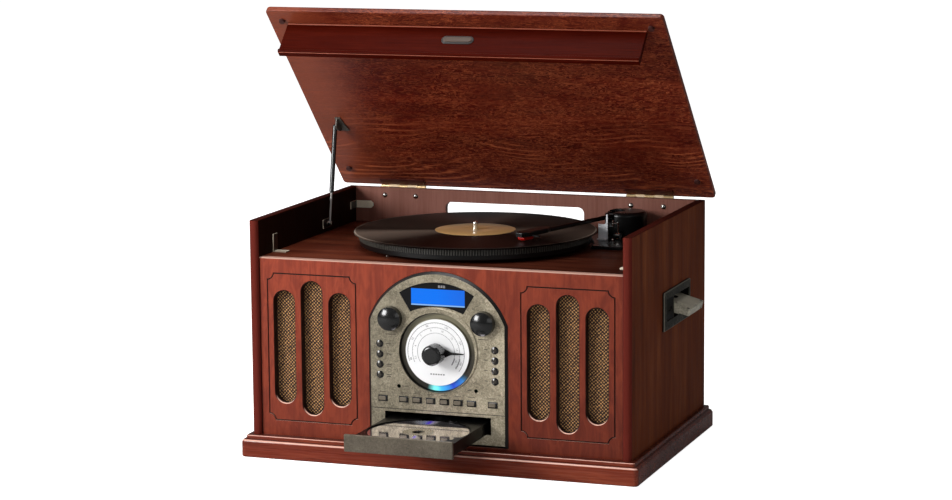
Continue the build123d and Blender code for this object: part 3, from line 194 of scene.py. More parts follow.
def wood(name, grain, across, dark, mid, light, gloss=0.25, worms=0.0, streak=1.0, pores=1.0,
         origin=(0, 0, 0), coat=0.0, worm_light=None, arches=0.0, shine=0.22, flame=0.0):
    """Lacquered veneer: grain and across are unit directions along and across the grain."""
    m = Shade(name)
    offset = m.node("VectorMath", {0: m.place, 1: origin}, operation="SUBTRACT").outputs[0]
    third = tuple(Vector(grain).cross(Vector(across)))
    along, cross, deep = (m.dot(offset, way) for way in (grain, across, third))
    board = m.node("CombineXYZ", {0: along, 1: cross, 2: deep}).outputs[0]
    sway = m.noise(3.0, 2, vector=m.stretch((0.6, 1.6, 1), board))
    bent = m.math("ADD", cross, m.math("MULTIPLY", sway, 0.05))
    rings = m.node("CombineXYZ", {0: m.math("MULTIPLY", along, 0.10), 1: bent, 2: deep}).outputs[0]
    bands = m.noise(46, 3, 0.55, 0.4, rings)
    streaks = m.noise(420, 4, 0.6, 0.0, m.stretch((0.035, 1, 1), board))
    fine = m.noise(1500, 3, 0.6, 0.0, m.stretch((0.02, 1, 1), board))
    tone = m.math("ADD", m.math("MULTIPLY", bands, 0.6), m.math("MULTIPLY", streaks, 0.4))
    spread = 0.16 / streak
    colour = m.ramp(tone, (0.5 - spread, dark), (0.5, mid), (0.5 + spread, light))
    if flame:
        glow = m.ramp(m.noise(90, 3, 0.65, 1.0, m.stretch((0.3, 1, 1), board)), (0.42, 0.0), (0.62, flame))
        colour = m.mix(glow, colour, light)
    if worms:
        # Painted reflection: the lid's left end is painted paler
        painted_sheen_left = m.fit(along, -0.22, -0.165, 0.3, 0.0)
        colour = m.mix(painted_sheen_left, colour, worm_light or light)
        wavy = m.noise(210, 2, 0.6, 2.2, m.stretch((0.24, 1, 1), board))
        ridge = m.math("ABSOLUTE", m.math("SUBTRACT", wavy, 0.5))
        line = m.ramp(ridge, (0.0, 1.0), (0.06, 0.0))
        patch = m.ramp(m.noise(12, 3, 0.6), (0.34, 0.3), (0.6, 0.8))
        plain = m.fit(along, -0.215, -0.15, 0.2, 1.0)
        strength = m.math("MULTIPLY", m.math("MULTIPLY", line, patch), m.math("MULTIPLY", plain, worms))
        colour = m.mix(strength, colour, worm_light or light)
    if arches:
        swell = m.noise(5.0, 2, 0.5, 0.0, m.stretch((0.5, 1, 1), board))
        wander = m.math("ADD", m.math("MULTIPLY", swell, 0.2), m.math("MULTIPLY", streaks, 0.012))
        wave = m.math("SINE", m.math("MULTIPLY", m.math("ADD", cross, wander), 640))
        near = m.fit(cross, 0.08, 0.17, 1.0, 0.0)
        broken = m.ramp(m.noise(20, 2, 0.5, 0.0, m.stretch((0.4, 1, 1), board)), (0.45, 0.0), (0.6, 1.0))
        ripple = m.math("MULTIPLY", m.ramp(wave, (0.5, 0.0), (1.0, 1.0)), m.math("MULTIPLY", near, arches))
        ripple = m.math("MULTIPLY", ripple, broken)
        colour = m.mix(ripple, colour, worm_light or light)
    hollow = m.ramp(fine, (0.36, 0.0), (0.46, 1.0))
    shade = m.fit(hollow, 0, 1, 1 - 0.35 * pores, 1)
    colour = m.mix(1.0, colour, m.grey(shade), "MULTIPLY")
    rough = m.fit(streaks, 0.3, 0.7, gloss, gloss + 0.16)
    m.set(base_color=colour, roughness=rough, coat_weight=coat, coat_roughness=gloss * 0.6)
    m.set(specular_ior_level=shine)
    m.set(normal=m.bump(hollow, 0.00005, 0.5))
    m.colour = colour
    return m


def paint(name, colour, rough=0.4, grain=0.00002, scale=900.0, spread=0.12, metal=0.0, **more):
    """Moulded plastic, paint or metal with a fine surface grain and slight tone changes."""
    m = Shade(name, metallic=metal, **more)
    speck = m.noise(scale, 3)
    cloud = m.noise(38, 2)
    low = tuple(c * (1 - spread) for c in colour[:3]) + (1.0,)
    high = tuple(min(1.0, c * (1 + spread)) for c in colour[:3]) + (1.0,)
    tone = m.math("ADD", m.math("MULTIPLY", speck, 0.5), m.math("MULTIPLY", cloud, 0.5))
    m.set(base_color=m.ramp(tone, (0.38, low), (0.62, high)))
    m.set(roughness=m.fit(cloud, 0.3, 0.7, rough * 0.88, rough * 1.12))
    m.set(normal=m.bump(speck, grain, 0.6))
    return m


def dress(shade, *names):
    for name in names:
        mesh = nodes[name].data
        mesh.materials.clear()
        mesh.materials.append(shade.material)


X, Y, Z = (1, 0, 0), (0, 1, 0), (0, 0, 1)
lid_angle = radians(45)
lid_out = (0, -cos(lid_angle), sin(lid_angle))
hinge_line = (0, HINGE_Y * MM, HINGE_Z * MM)

front_wood = wood("front_wood", Z, X, linear(104, 34, 18), linear(126, 47, 27), linear(158, 66, 38),
                  gloss=0.4, streak=0.6, coat=0.05, flame=0.55, pores=0.35)
groove_floor, lip_back = -152.15 * MM, -150.2 * MM
step_shadow_x, front_top, ledge_limit = 229.7 * MM, 244.9 * MM, 180 * MM
sx, sy, sz = front_wood.split()
# Painted light: the front is painted lighter towards the left and the top, and darker towards the right
painted_light_fade = front_wood.fit(sx, -0.24, 0.24, 1.0, 0.74)
rise = front_wood.fit(sz, 0.03, 0.25, 0.78, 1.06)
painted_light_fade = front_wood.math("MULTIPLY", painted_light_fade, rise)
colour = front_wood.mix(1.0, front_wood.colour, front_wood.grey(painted_light_fade), "MULTIPLY")
# Slot walls and grooves behind the front face are coloured near black; the panel's two ends get a painted
# shadow of the side strips' step
groove = front_wood.math("GREATER_THAN", sy, groove_floor)
painted_step_shadow = front_wood.math("GREATER_THAN", front_wood.math("ABSOLUTE", sx), step_shadow_x)
deep = front_wood.math("MULTIPLY", front_wood.math("MAXIMUM", groove, painted_step_shadow), 0.95)
colour = front_wood.mix(deep, colour, linear(18, 6, 4))
# Painted highlight: the front's top edge and the upward rounded lips of the slots are painted pale
top_edge_highlight = front_wood.between(sz, front_top, 1)
upward = front_wood.between(front_wood.split(front_wood.normal)[2], 0.45, 2, 0.15)
lip_highlight = front_wood.math("MULTIPLY", upward, front_wood.between(sy, -152.2 * MM, lip_back))
lip_highlight = front_wood.math("MULTIPLY", lip_highlight, front_wood.math("LESS_THAN", sz, ledge_limit))
lip_highlight = front_wood.math("MAXIMUM", front_wood.math("MULTIPLY", top_edge_highlight, 0.55), lip_highlight)
front_wood.set(base_color=front_wood.mix(lip_highlight, colour, linear(240, 190, 170)))
side_wood = wood("side_wood", Z, Y, linear(76, 30, 12), linear(104, 48, 22), linear(134, 74, 40),
                 gloss=0.5, shine=0.04, streak=0.75)
side_inner_face, side_front_end = 230.6 * MM, -153.2 * MM
sx, sy, _ = side_wood.split()
# Painted shade: the inner faces of the side panels are painted near black
painted_shade_inside = side_wood.math("LESS_THAN", side_wood.math("ABSOLUTE", sx), side_inner_face)
colour = side_wood.mix(side_wood.math("MULTIPLY", painted_shade_inside, 0.94), side_wood.colour, linear(14, 4, 3))
front_end = side_wood.math("LESS_THAN", sy, side_front_end)
colour = side_wood.mix(front_end, colour, linear(94, 34, 26))
# Painted shade: the upward faces of the sides, their sloping top edges, are painted darker
painted_shade_top = side_wood.between(side_wood.split(side_wood.normal)[2], 0.5, 2, 0.1)
side_wood.set(base_color=side_wood.mix(painted_shade_top, colour, linear(58, 18, 12)))
deck_wood = wood("deck_wood", X, Y, linear(50, 17, 9), linear(74, 31, 19), linear(100, 52, 34),
                 gloss=0.35, shine=0.06)
# Painted light: the deck is painted lighter towards the left and darker towards the right
painted_light_fade = deck_wood.fit(deck_wood.split()[0], -0.24, 0.24, 1.85, 0.34)
deck_wood.set(base_color=deck_wood.mix(1.0, deck_wood.colour, deck_wood.grey(painted_light_fade), "MULTIPLY"))
plinth_wood = wood("plinth_wood", X, Z, linear(84, 26, 13), linear(116, 45, 27), linear(148, 70, 44),
                   gloss=0.2, coat=0.5, streak=0.7, shine=0.08)
# Painted light: pale highlights on the front's rounded edges, painted shade on the flat ledge tops, and the
# faces that do not face the front painted darker
upward = plinth_wood.split(plinth_wood.normal)[2]
rounded_edge = plinth_wood.between(upward, 0.5, 0.8, 0.08)
facing = plinth_wood.math("LESS_THAN", plinth_wood.split(plinth_wood.normal)[1], -0.3)
painted_edge_highlight = plinth_wood.math("MULTIPLY", plinth_wood.math("MULTIPLY", rounded_edge, facing), 0.8)
painted_ledge_shade = plinth_wood.math("MULTIPLY", plinth_wood.between(upward, 0.93, 2, 0.03), 0.6)
ends = plinth_wood.math("LESS_THAN", plinth_wood.split(plinth_wood.normal)[1], -0.5)
plain = plinth_wood.mix(1.0, plinth_wood.colour, linear(196, 190, 186), "MULTIPLY")
colour = plinth_wood.mix(painted_ledge_shade, plinth_wood.mix(ends, plain, plinth_wood.colour), linear(52, 18, 12))
plinth_wood.set(base_color=plinth_wood.mix(painted_edge_highlight, colour, linear(240, 190, 172)))
lid_wood = wood("lid_wood", X, lid_out, linear(56, 5, 2), linear(80, 14, 5), linear(104, 30, 13),
                gloss=0.3, worms=1.0, streak=0.8, origin=hinge_line, worm_light=linear(180, 92, 56),
                arches=0.9, pores=0.5, shine=0.4)
apron_wood = wood("apron_wood", X, lid_out, linear(50, 6, 1), linear(62, 10, 2), linear(80, 20, 8),
                  gloss=0.34, streak=0.6, shine=0.03)
dress(apron_wood, "lid_apron")
dress(front_wood, "front_panel")
dress(side_wood, "side_left", "side_right")
dress(deck_wood, "deck")
dress(plinth_wood, "plinth")
dress(lid_wood, "lid")

rear = wood("rear_board", Z, X, linear(126, 78, 65), linear(135, 87, 74), linear(144, 96, 83),
            gloss=0.4, pores=0.4)
dress(rear, "rear_panel")


def champagne(name, low, mid, high, rough=0.42, metal=0.55):
    """Metallic paint, mottled like hammered pewter."""
    m = Shade(name, metallic=metal)
    mottle = m.noise(330, 4, 0.65, 1.2)
    cloud = m.noise(26, 2, 0.5, 0.6)
    speck = m.noise(1600, 2)
    tone = m.math("ADD", m.math("MULTIPLY", mottle, 0.62), m.math("MULTIPLY", cloud, 0.38))
    colour = m.ramp(tone, (0.36, low), (0.5, mid), (0.66, high))
    m.set(base_color=colour)
    m.set(roughness=m.fit(mottle, 0.3, 0.7, rough * 1.2, rough * 0.8))
    fine = m.bump(speck, 0.00001, 0.5)
    m.set(normal=m.bump(mottle, 0.00008, 0.6, fine))
    return m


champagne_panel = champagne("champagne_panel", linear(112, 104, 87), linear(158, 148, 126),
                            linear(206, 194, 169))
panel_rim_y = -155.1 * MM
edge = champagne_panel.math("GREATER_THAN", champagne_panel.split()[1], panel_rim_y)
colour = champagne_panel.colour_so_far()
# Painted shade: the panel is painted darker towards the left and lighter towards the right
painted_shade_across = champagne_panel.fit(champagne_panel.split()[0], -0.09, 0.09, 0.72, 1.18)
colour = champagne_panel.mix(1.0, colour, champagne_panel.grey(painted_shade_across), "MULTIPLY")
champagne_panel.set(base_color=champagne_panel.mix(edge, colour, linear(14, 13, 12)))
front_only = champagne_panel.math("SUBTRACT", 1.0, edge)
champagne_panel.set(metallic=champagne_panel.math("MULTIPLY", front_only, 0.5))
dress(champagne_panel, "control_panel")
bezel_metal = champagne("bezel_metal", linear(26, 25, 20), linear(48, 46, 38), linear(92, 88, 74), 0.5)
bezel_metal.set(specular_ior_level=0.12)
black_gloss = paint("black_gloss", linear(20, 20, 20), 0.22, 0.000004, coat_weight=0.3, coat_roughness=0.08)
black_satin = paint("black_satin", linear(11, 11, 11), 0.3, 0.00001, specular_ior_level=0.3)
black_matt = paint("black_matt", linear(17, 16, 16), 0.6, 0.00003)
dress(black_gloss, "volume_knob", "function_knob", "tuning_knob", "dial_pointer")
dress(black_satin, "arm_base", "arm_turret", "tonearm")
key_black = paint("key_black", linear(8, 8, 8), 0.5, 0.00001, specular_ior_level=0.1)
dress(key_black, "eject_key")
dress(black_matt, "speakers", "drive_motor", "disc_drive")
board = paint("board_green", linear(22, 62, 38), 0.4, 0.00002)
socket_block_y = 158 * MM
behind = board.math("GREATER_THAN", board.split()[1], socket_block_y)
board.set(base_color=board.mix(behind, board.colour_so_far(), linear(16, 16, 16)))
dress(board, "circuit_boards")
steel = paint("steel", linear(188, 186, 180), 0.24, 0.000004, 1400, 0.08, 1.0)
zinc = paint("zinc", linear(244, 232, 208), 0.36, 0.000006, 1200, 0.12)
shaded = zinc.math("GREATER_THAN", zinc.math("ABSOLUTE", zinc.split(zinc.normal)[0]), 0.7)
zinc.set(base_color=zinc.mix(shaded, zinc.colour_so_far(), linear(26, 20, 17)))
chrome = paint("chrome", linear(226, 225, 220), 0.1, 0.000002, 900, 0.05, 1.0)
brass = paint("brass", linear(222, 194, 146), 0.3, 0.000006, 1200, 0.12, 0.6)
rubber = paint("rubber", linear(20, 19, 18), 0.75, 0.00004, 1300)
dress(chrome, "cue_lever", "speed_switch")
dress(steel, "screws")
plate = paint("rest_steel", linear(238, 240, 244), 0.34, 0.00001, 1100, 0.06)
dress(plate, "arm_rest")
dress(zinc, "brackets")
dress(brass, "cabinet_hinges", "spindle_bush", "motor_pulley")
leaf = paint("lid_leaf", linear(60, 48, 36), 0.4, 0.000006, 1200, 0.1, 0.2)
barrel_radius = 2.5 * MM
barrel = leaf.math("LESS_THAN", leaf.radius((HINGE_Y * MM, HINGE_Z * MM), "yz")[0], barrel_radius)
stay_plate = leaf.math("LESS_THAN", leaf.split()[0], -0.2)
flat = leaf.mix(stay_plate, linear(66, 16, 8), linear(92, 86, 78))
leaf.set(base_color=leaf.mix(barrel, flat, linear(232, 208, 172)))
dress(leaf, "lid_fittings")
dress(rubber, "drive_belt")
bumper = paint("bumper_brown", linear(62, 20, 13), 0.6, 0.00003)
dress(bumper, "lid_bumpers")
red_plastic = paint("red_plastic", linear(186, 24, 14), 0.25, 0.000006, coat_weight=0.4, coat_roughness=0.1)
dress(red_plastic, "cartridge")

platter = paint("platter_metal", linear(20, 20, 20), 0.34, 0.00001)
spindle_radius = 4.2 * MM
record_axis = [v * MM for v in RECORD_AXIS]
spindle = platter.math("LESS_THAN", platter.radius(record_axis, "xy")[0], spindle_radius)
platter.set(base_color=platter.mix(spindle, linear(12, 12, 12), linear(250, 246, 236)))
platter.set(metallic=spindle, specular_ior_level=0.3)
platter.set(roughness=platter.math("SUBTRACT", 0.34, platter.math("MULTIPLY", spindle, 0.16)))
dress(platter, "platter")

stay = paint("stay_black", linear(18, 18, 18), 0.24, 0.000004, coat_weight=0.3, coat_roughness=0.1)
bare_rod = 258 * MM, 296 * MM
rod = stay.between(stay.split()[2], *bare_rod)
stay.set(base_color=stay.mix(rod, linear(18, 18, 18), linear(176, 172, 168)))
dress(stay, "stay_rod")

tray_black = paint("tray_black", linear(6, 6, 6), 0.3, 0.000006, specular_ior_level=0.12)
dress(tray_black, "cd_tray")
front_metal = champagne("tray_metal", linear(88, 80, 69), linear(107, 98, 85), linear(127, 118, 103))
dress(front_metal, "tray_front")

disc = Shade("disc_mirror", roughness=0.06)
r, angle = disc.radius((0, DISC_Y * MM), "xy")
# Painted reflection: violet and blue fans at set angles round the disc stand in for its rainbow sheen
way = disc.math("ADD", disc.math("MULTIPLY", angle, 1 / (2 * pi)), 0.5)
silver = linear(255, 248, 252)
sheen = disc.ramp(way, (0.0, silver), (0.26, silver), (0.28, linear(120, 70, 255)), (0.30, silver),
                  (0.73, silver), (0.765, linear(90, 30, 255)), (0.79, linear(60, 130, 210)), (0.83, silver))
hub_radius = 19 * MM
near = disc.ramp(way, (0.25, 0.0), (0.28, 1.0), (0.31, 0.0))
far = disc.ramp(way, (0.73, 0.0), (0.765, 1.0), (0.79, 0.5), (0.83, 0.0))
near = disc.math("MULTIPLY", near, disc.between(r, hub_radius, 34 * MM, 0.003))
far = disc.math("MULTIPLY", far, disc.between(r, 40 * MM, 60 * MM, 0.004))
painted_sheen_fan = disc.math("MAXIMUM", near, far)
hub = disc.between(r, -1, hub_radius)
mirror = disc.mix(painted_sheen_fan, silver, sheen)
disc.set(base_color=disc.mix(hub, mirror, linear(232, 224, 212)))
disc.set(metallic=disc.math("SUBTRACT", 0.97, disc.math("MULTIPLY", painted_sheen_fan, 0.6)))
disc.set(roughness=disc.math("ADD", 0.06, disc.math("MULTIPLY", hub, 0.2)))
dress(disc, "compact_disc")

# cassette and the deck round it
shell = paint("cassette_shell", linear(166, 160, 142), 0.3, 0.00001, 420, 0.45)
dress(shell, "cassette")
colour = bezel_metal.colour_so_far()
bezel_inside_x = 243.2 * MM
within = bezel_metal.math("LESS_THAN", bezel_metal.split()[0], bezel_inside_x)
# Painted highlight: the bezel's rounded edges are painted paler
corner = bezel_metal.between(bezel_metal.split(bezel_metal.normal)[0], 0.2, 0.93, 0.05)
colour = bezel_metal.mix(bezel_metal.math("MULTIPLY", corner, 0.7), colour, linear(132, 126, 114))
bezel_metal.set(base_color=bezel_metal.mix(within, colour, linear(10, 9, 9)))
bezel_metal.set(metallic=bezel_metal.math("MULTIPLY", bezel_metal.math("SUBTRACT", 1.0, within), 0.2))
dress(bezel_metal, "cassette_deck")

# row keys and round buttons
keys = [name for name in nodes if name.startswith(("row_key", "round_button"))]
dress(black_gloss, *keys)

# ------------------------------------------------------------------ dial
dial = Shade("dial_plastic", roughness=0.32, coat_weight=0.2, coat_roughness=0.1)
r, angle = dial.radius((0, DIAL_Z * MM))
white_radius, lit_ring = 40.3 * MM, (40.4 * MM, 47.0 * MM)
white = dial.between(r, -1, white_radius)
rim = dial.between(r, lit_ring[1], 1)
# Painted light: the ring round the dial is painted lighter towards the top and darker towards the bottom
height = dial.math("SINE", angle)
olive_painted_light = dial.ramp(dial.math("ADD", dial.math("MULTIPLY", height, 0.5), 0.5),
                  (0.0, linear(26, 23, 17)), (0.5, linear(66, 60, 46)), (1.0, linear(122, 116, 92)))
glow = dial.ramp(dial.math("MULTIPLY", angle, -1 / pi), (0.20, linear(40, 90, 96)),
                 (0.26, linear(40, 120, 190)), (0.36, linear(20, 60, 190)), (0.47, linear(60, 180, 230)),
                 (0.52, linear(120, 230, 230)))
lit = dial.math("MULTIPLY", dial.between(angle, -1.78, -0.72, 0.1), dial.between(r, *lit_ring))
ring = dial.mix(rim, dial.mix(lit, olive_painted_light, glow), linear(16, 14, 12))
dial.set(base_color=dial.mix(white, ring, linear(240, 240, 240)))
dial.set(emission_color=glow, emission_strength=dial.math("MULTIPLY", lit, 0.45))
dress(dial, "dial_face")

lens = Shade("display_lens", roughness=0.08, specular_ior_level=0.25)
sx, _, sz = lens.split()
screen_left, screen_right = -32.4 * MM, 35.4 * MM
glow_foot, screen_foot, screen_top = 198.4 * MM, 200.0 * MM, 218.6 * MM
across = lens.between(sx, screen_left, screen_right)
lcd = lens.math("MULTIPLY", across, lens.between(sz, screen_foot, screen_top))
foot = lens.math("MULTIPLY", across, lens.between(sz, glow_foot, screen_foot))
violet = lens.fit(sx, 0.0, 0.03)
blue = lens.mix(violet, linear(0, 122, 255), linear(20, 112, 240))
screen = lens.mix(foot, blue, linear(150, 200, 255))
lens.set(base_color=lens.mix(lcd, linear(8, 8, 9), linear(0, 14, 44)))
lens.set(emission_color=screen, emission_strength=lens.math("MULTIPLY", lens.math("MAXIMUM", lcd, foot), 0.9))
dress(lens, "display_window")

# ------------------------------------------------------------------ record
vinyl = Shade("vinyl", roughness=0.34, specular_ior_level=0.03, anisotropic=0.9)
r, angle = vinyl.radius(record_axis, "xy")
bands = vinyl.noise(900, 3, 0.7, 0.0, vinyl.node("CombineXYZ", {0: r, 1: 0.0, 2: 0.0}).outputs[0])
record_rim = 148.6 * MM, 150.2 * MM
rim = vinyl.between(r, *record_rim)
# Painted reflection: the grooves' sheen is painted in fans at set angles round the spindle, and the pale rim
# follows the same fans
way = vinyl.math("ADD", vinyl.math("MULTIPLY", angle, 1 / (2 * pi)), 0.5)
painted_sheen_fan = vinyl.ramp(way, (0.0, 0.2), (0.04, 0.06), (0.075, 1.0), (0.125, 0.55), (0.17, 0.06), (0.22, 0.0),
                 (0.42, 0.0), (0.46, 0.2), (0.54, 0.8), (0.6, 0.15), (0.71, 0.06), (0.75, 0.4),
                 (0.79, 0.06), (0.93, 0.16))
grooves = vinyl.ramp(bands, (0.35, 0.55), (0.65, 1.0))
sheen = vinyl.math("MULTIPLY", painted_sheen_fan, grooves)
colour = vinyl.mix(sheen, linear(11, 5, 4), linear(112, 97, 86))
vinyl.set(base_color=vinyl.mix(rim, colour, vinyl.mix(painted_sheen_fan, linear(44, 36, 30), linear(170, 154, 140))))
vinyl.set(tangent=vinyl.node("Tangent", direction_type="RADIAL", axis="Z").outputs[0])
dress(vinyl, "record")


def ride(piece, body):
    """Adds a piece to the scene, riding on a body."""
    bpy.context.scene.collection.objects.link(piece)
    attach(piece, body)
    return piece


def mesh_piece(name, verts, faces, shade, smooth=False):
    mesh = bpy.data.meshes.new(name)
    mesh.from_pydata([Vector(v) * MM for v in verts], [], faces)
    mesh.update()
    made = bmesh.new()
    made.from_mesh(mesh)
    bmesh.ops.recalc_face_normals(made, faces=made.faces)
    made.to_mesh(mesh)
    made.free()
    mesh.materials.append(shade.material)
    for face in mesh.polygons:
        face.use_smooth = smooth
    return bpy.data.objects.new(name, mesh)


def ring_piece(name, centre, profile, shade, count=96):
    """Turned ring round an upright line through centre; profile is a closed list of (radius, z)."""
    verts, faces = [], []
    rows = len(profile)
    for step in range(count):
        a = 2 * pi * step / count
        verts += [(centre[0] + radius * cos(a), centre[1] + radius * sin(a), z) for radius, z in profile]
    for step in range(count):
        for row in range(rows):
            a, b = step * rows, (step + 1) % count * rows
            faces.append((a + row, b + row, b + (row + 1) % rows, a + (row + 1) % rows))
    return mesh_piece(name, verts, faces, shade, smooth=True)


label_paper = paint("label_paper", linear(198, 156, 98), 0.6, 0.000004, 700,
                    coat_weight=0.6, coat_roughness=0.04)
label_profile = [(3.7, 266.0), (50, 266.0), (50, 266.12), (49.6, 266.2), (4.2, 266.2), (3.7, 266.12)]
label = ring_piece("record_label", RECORD_AXIS, label_profile, label_paper)
ride(label, "platter")


def round_platter(reach, turn):
    """Point at a distance from the spindle line and at an angle from +X."""
    return reach * cos(turn) + RECORD_AXIS[0], reach * sin(turn) + RECORD_AXIS[1]


ribs = 270
rib_low, rib_high = 256.4, 262.8
rib_foot, rib_crest, rib_inside = 143.4, 144.5, 142.6
profile = []
for step in range(ribs * 4):
    reach = rib_foot if step % 4 < 2 else rib_crest
    profile.append(round_platter(reach, 2 * pi * (step + 0.25 * (step % 2)) / (ribs * 4)))
inner = [round_platter(rib_inside, 2 * pi * i / len(profile)) for i in range(len(profile))]
count = len(profile)
verts = [(x, y, z) for z in (rib_low, rib_high) for x, y in profile + inner]
faces = []
for i in range(count):
    j = (i + 1) % count
    low, high = 0, 2 * count
    faces += [(low + i, low + j, high + j, high + i),
              (high + i, high + j, high + count + j, high + count + i),
              (low + count + i, low + count + j, low + j, low + i),
              (high + count + i, high + count + j, low + count + j, low + count + i)]
rib_paint = paint("rib_paint", linear(62, 61, 56), 0.3, 0.00001)
ride(mesh_piece("platter_ribs", verts, faces, rib_paint), "platter")


def prism(outlines, front, depth):
    """Corners and faces of solid flat marks facing -Y; an outline is a closed list of (x, z) points."""
    verts, faces = [], []
    for outline in outlines:
        start, count = len(verts), len(outline)
        verts += [(x, front, z) for x, z in outline] + [(x, front + depth, z) for x, z in outline]
        faces.append(tuple(range(start, start + count)))
        faces.append(tuple(range(start + 2 * count - 1, start + count - 1, -1)))
        faces += [(start + i, start + (i + 1) % count, start + count + (i + 1) % count, start + count + i)
                  for i in range(count)]
    return verts, faces


def bar(x, z, width, height):
    return [(x - width / 2, z - height / 2), (x + width / 2, z - height / 2),
            (x + width / 2, z + height / 2), (x - width / 2, z + height / 2)]


def arc(centre, radius, width, low, high, count=48):
    """Outline of a bent line from low to high degrees."""
    turns = [radians(low + (high - low) * i / count) for i in range(count + 1)]
    high_side, low_side = radius + width / 2, radius - width / 2
    outer = [(centre[0] + high_side * cos(t), centre[1] + high_side * sin(t)) for t in turns]
    return outer + [(centre[0] + low_side * cos(t), centre[1] + low_side * sin(t)) for t in reversed(turns)]


def wedge(x, z, size, way):
    return [(x - way * size / 2, z - size / 2), (x + way * size / 2, z), (x - way * size / 2, z + size / 2)]


def rounded(width, height, corner, count=6):
    """Rounded rectangle round the origin, counter-clockwise."""
    outline = []
    for quarter, (sx, sz) in enumerate(((1, 1), (-1, 1), (-1, -1), (1, -1))):
        for i in range(count + 1):
            a = pi / 2 * (quarter + i / count)
            outline.append((sx * (width / 2 - corner) + corner * cos(a),
                            sz * (height / 2 - corner) + corner * sin(a)))
    return outline


def cap(name, x, z, layers, shade):
    """Cap facing -Y built from outlines stacked towards the front: (width, height, corner, y)."""
    verts, faces = [], []
    for width, height, corner, y in layers:
        verts += [(x + px, y, z + pz) for px, pz in rounded(width, height, corner)]
    count = len(verts) // len(layers)
    for layer in range(len(layers) - 1):
        a = layer * count
        faces += [(a + i, a + (i + 1) % count, a + count + (i + 1) % count, a + count + i)
                  for i in range(count)]
    faces.append(tuple(range(count - 1, -1, -1)))
    faces.append(tuple(range(len(verts) - count, len(verts))))
    return mesh_piece(name, verts, faces, shade)


# ------------------------------------------------------------------ key caps
cap_metal = paint("cap_metal", linear(116, 107, 92), 0.34, 0.00001, metal=0.3)
cap_dark = paint("cap_dark", linear(70, 66, 60), 0.26, 0.00001, metal=0.5)
row_cap_shift, row_cap_z = -0.4, 82.8
row_cap_layers = [(8.6, 4.8, 1.2, -156.6), (8.6, 4.8, 1.2, -157.0), (7.8, 4.0, 0.9, -157.3)]
round_cap_layers = [(5.4, 5.4, 2.69, -156.6), (5.2, 5.2, 2.59, -157.0), (3.6, 3.6, 1.79, -157.35)]
for place, key_x in enumerate(ROW_KEY_XS, start=1):
    piece = cap(f"row_cap_{place}", key_x + row_cap_shift, row_cap_z, row_cap_layers, cap_metal)
    ride(piece, f"row_key_{place}_body")
for side, sign in (("left", -1), ("right", 1)):
    for place, key_z in enumerate(BUTTON_ZS, start=1):
        piece = cap(f"round_cap_{side}_{place}", sign * BUTTON_X, key_z, round_cap_layers, cap_dark)
        ride(piece, f"round_button_{side}_{place}_body")

# ------------------------------------------------------------------ printed marks
ink = paint("ink", linear(74, 66, 54), 0.6, 0.000004)
button_mark_gap = 8.2
row_mark_z, wedge_z, knob_mark_z, foot_mark_x, foot_mark_z = 90.4, 92.6, 161.2, 41.0, 98.8
marks = []
for row, key_z in enumerate(BUTTON_ZS):
    for sign in (-1, 1):
        edge = sign * (BUTTON_X - button_mark_gap)
        marks.append(bar(edge - sign * 3.2, key_z + 0.4, 6.4 if sign < 0 else 4.4, 1.0))
        if sign < 0 and row > 1:
            marks.append(bar(edge + 3.0, key_z - 1.8, 5.2, 1.0))
for place, key_x in enumerate(ROW_KEY_XS):
    marks.append(bar(key_x, row_mark_z, 8.0, 0.8))
    if place in (2, 3):
        marks.append(wedge(key_x - 2, wedge_z, 1.8, 1))
        marks.append(wedge(key_x + 2, wedge_z, 1.8, 1 if place == 3 else -1))
for sign in (-1, 1):
    marks.append(bar(sign * KNOB_X, knob_mark_z, 13, 1.0))
    marks.append(bar(sign * foot_mark_x, foot_mark_z, 9.0 if sign < 0 else 5.0, 1.0))
verts, faces = prism(marks, PANEL_FACE, 0.1)
ride(mesh_piece("panel_marks", verts, faces, ink), "root")

grey_ink = paint("grey_ink", linear(130, 128, 130), 0.6, 0.000004)
scale_centre = (-1.6, DIAL_Z)
inner_scale, middle_scale, outer_scale = 23.6, 30.2, 36.0
half_width, half_length, tick_inset = 0.1, 0.5, 0.8
scales = [arc(scale_centre, inner_scale, 0.5, -34, 212), arc(scale_centre, middle_scale, 0.5, -36, 206),
          arc(scale_centre, outer_scale, 0.6, -37, 200)]
for radius, step in ((middle_scale, 7), (outer_scale, 5)):
    for turn in range(-34, 200, step):
        t = radians(turn)
        c, d = cos(t), sin(t)
        x, z = scale_centre[0] + (radius - tick_inset) * c, scale_centre[1] + (radius - tick_inset) * d
        corners = ((-half_width, -half_length), (half_width, -half_length),
                   (half_width, half_length), (-half_width, half_length))
        scales.append([(x + w * d + h * c, z - w * c + h * d) for w, h in corners])
scales += [arc(scale_centre, 24.4, 1.0, -36, -14, 8), arc(scale_centre, 31.0, 0.8, -37, -12, 8)]
scales += [bar(-8 + 3.2 * i, 115.5, 2.2, 1.6) for i in range(6)]
verts, faces = prism(scales, DIAL_INK_FACE, 0.12)
ride(mesh_piece("dial_scales", verts, faces, grey_ink), "root")


def numeral(name, text, x, z, size, turn):
    """Mesh of a number on the dial, facing -Y, with its middle at (x, z)."""
    curve = bpy.data.curves.new(name, "FONT")
    curve.body, curve.size, curve.extrude = text, size * MM, 0.05 * MM
    curve.align_x, curve.align_y = "CENTER", "CENTER"
    holder = bpy.data.objects.new(name, curve)
    bpy.context.scene.collection.objects.link(holder)
    bpy.context.view_layer.update()
    mesh = bpy.data.meshes.new_from_object(holder)
    bpy.data.objects.remove(holder)
    stand, lean = Matrix.Rotation(pi / 2, 4, "X"), Matrix.Rotation(radians(turn), 4, "Y")
    mesh.transform(Matrix.Translation(Vector((x, NUMERAL_FACE, z)) * MM) @ lean @ stand)
    return mesh


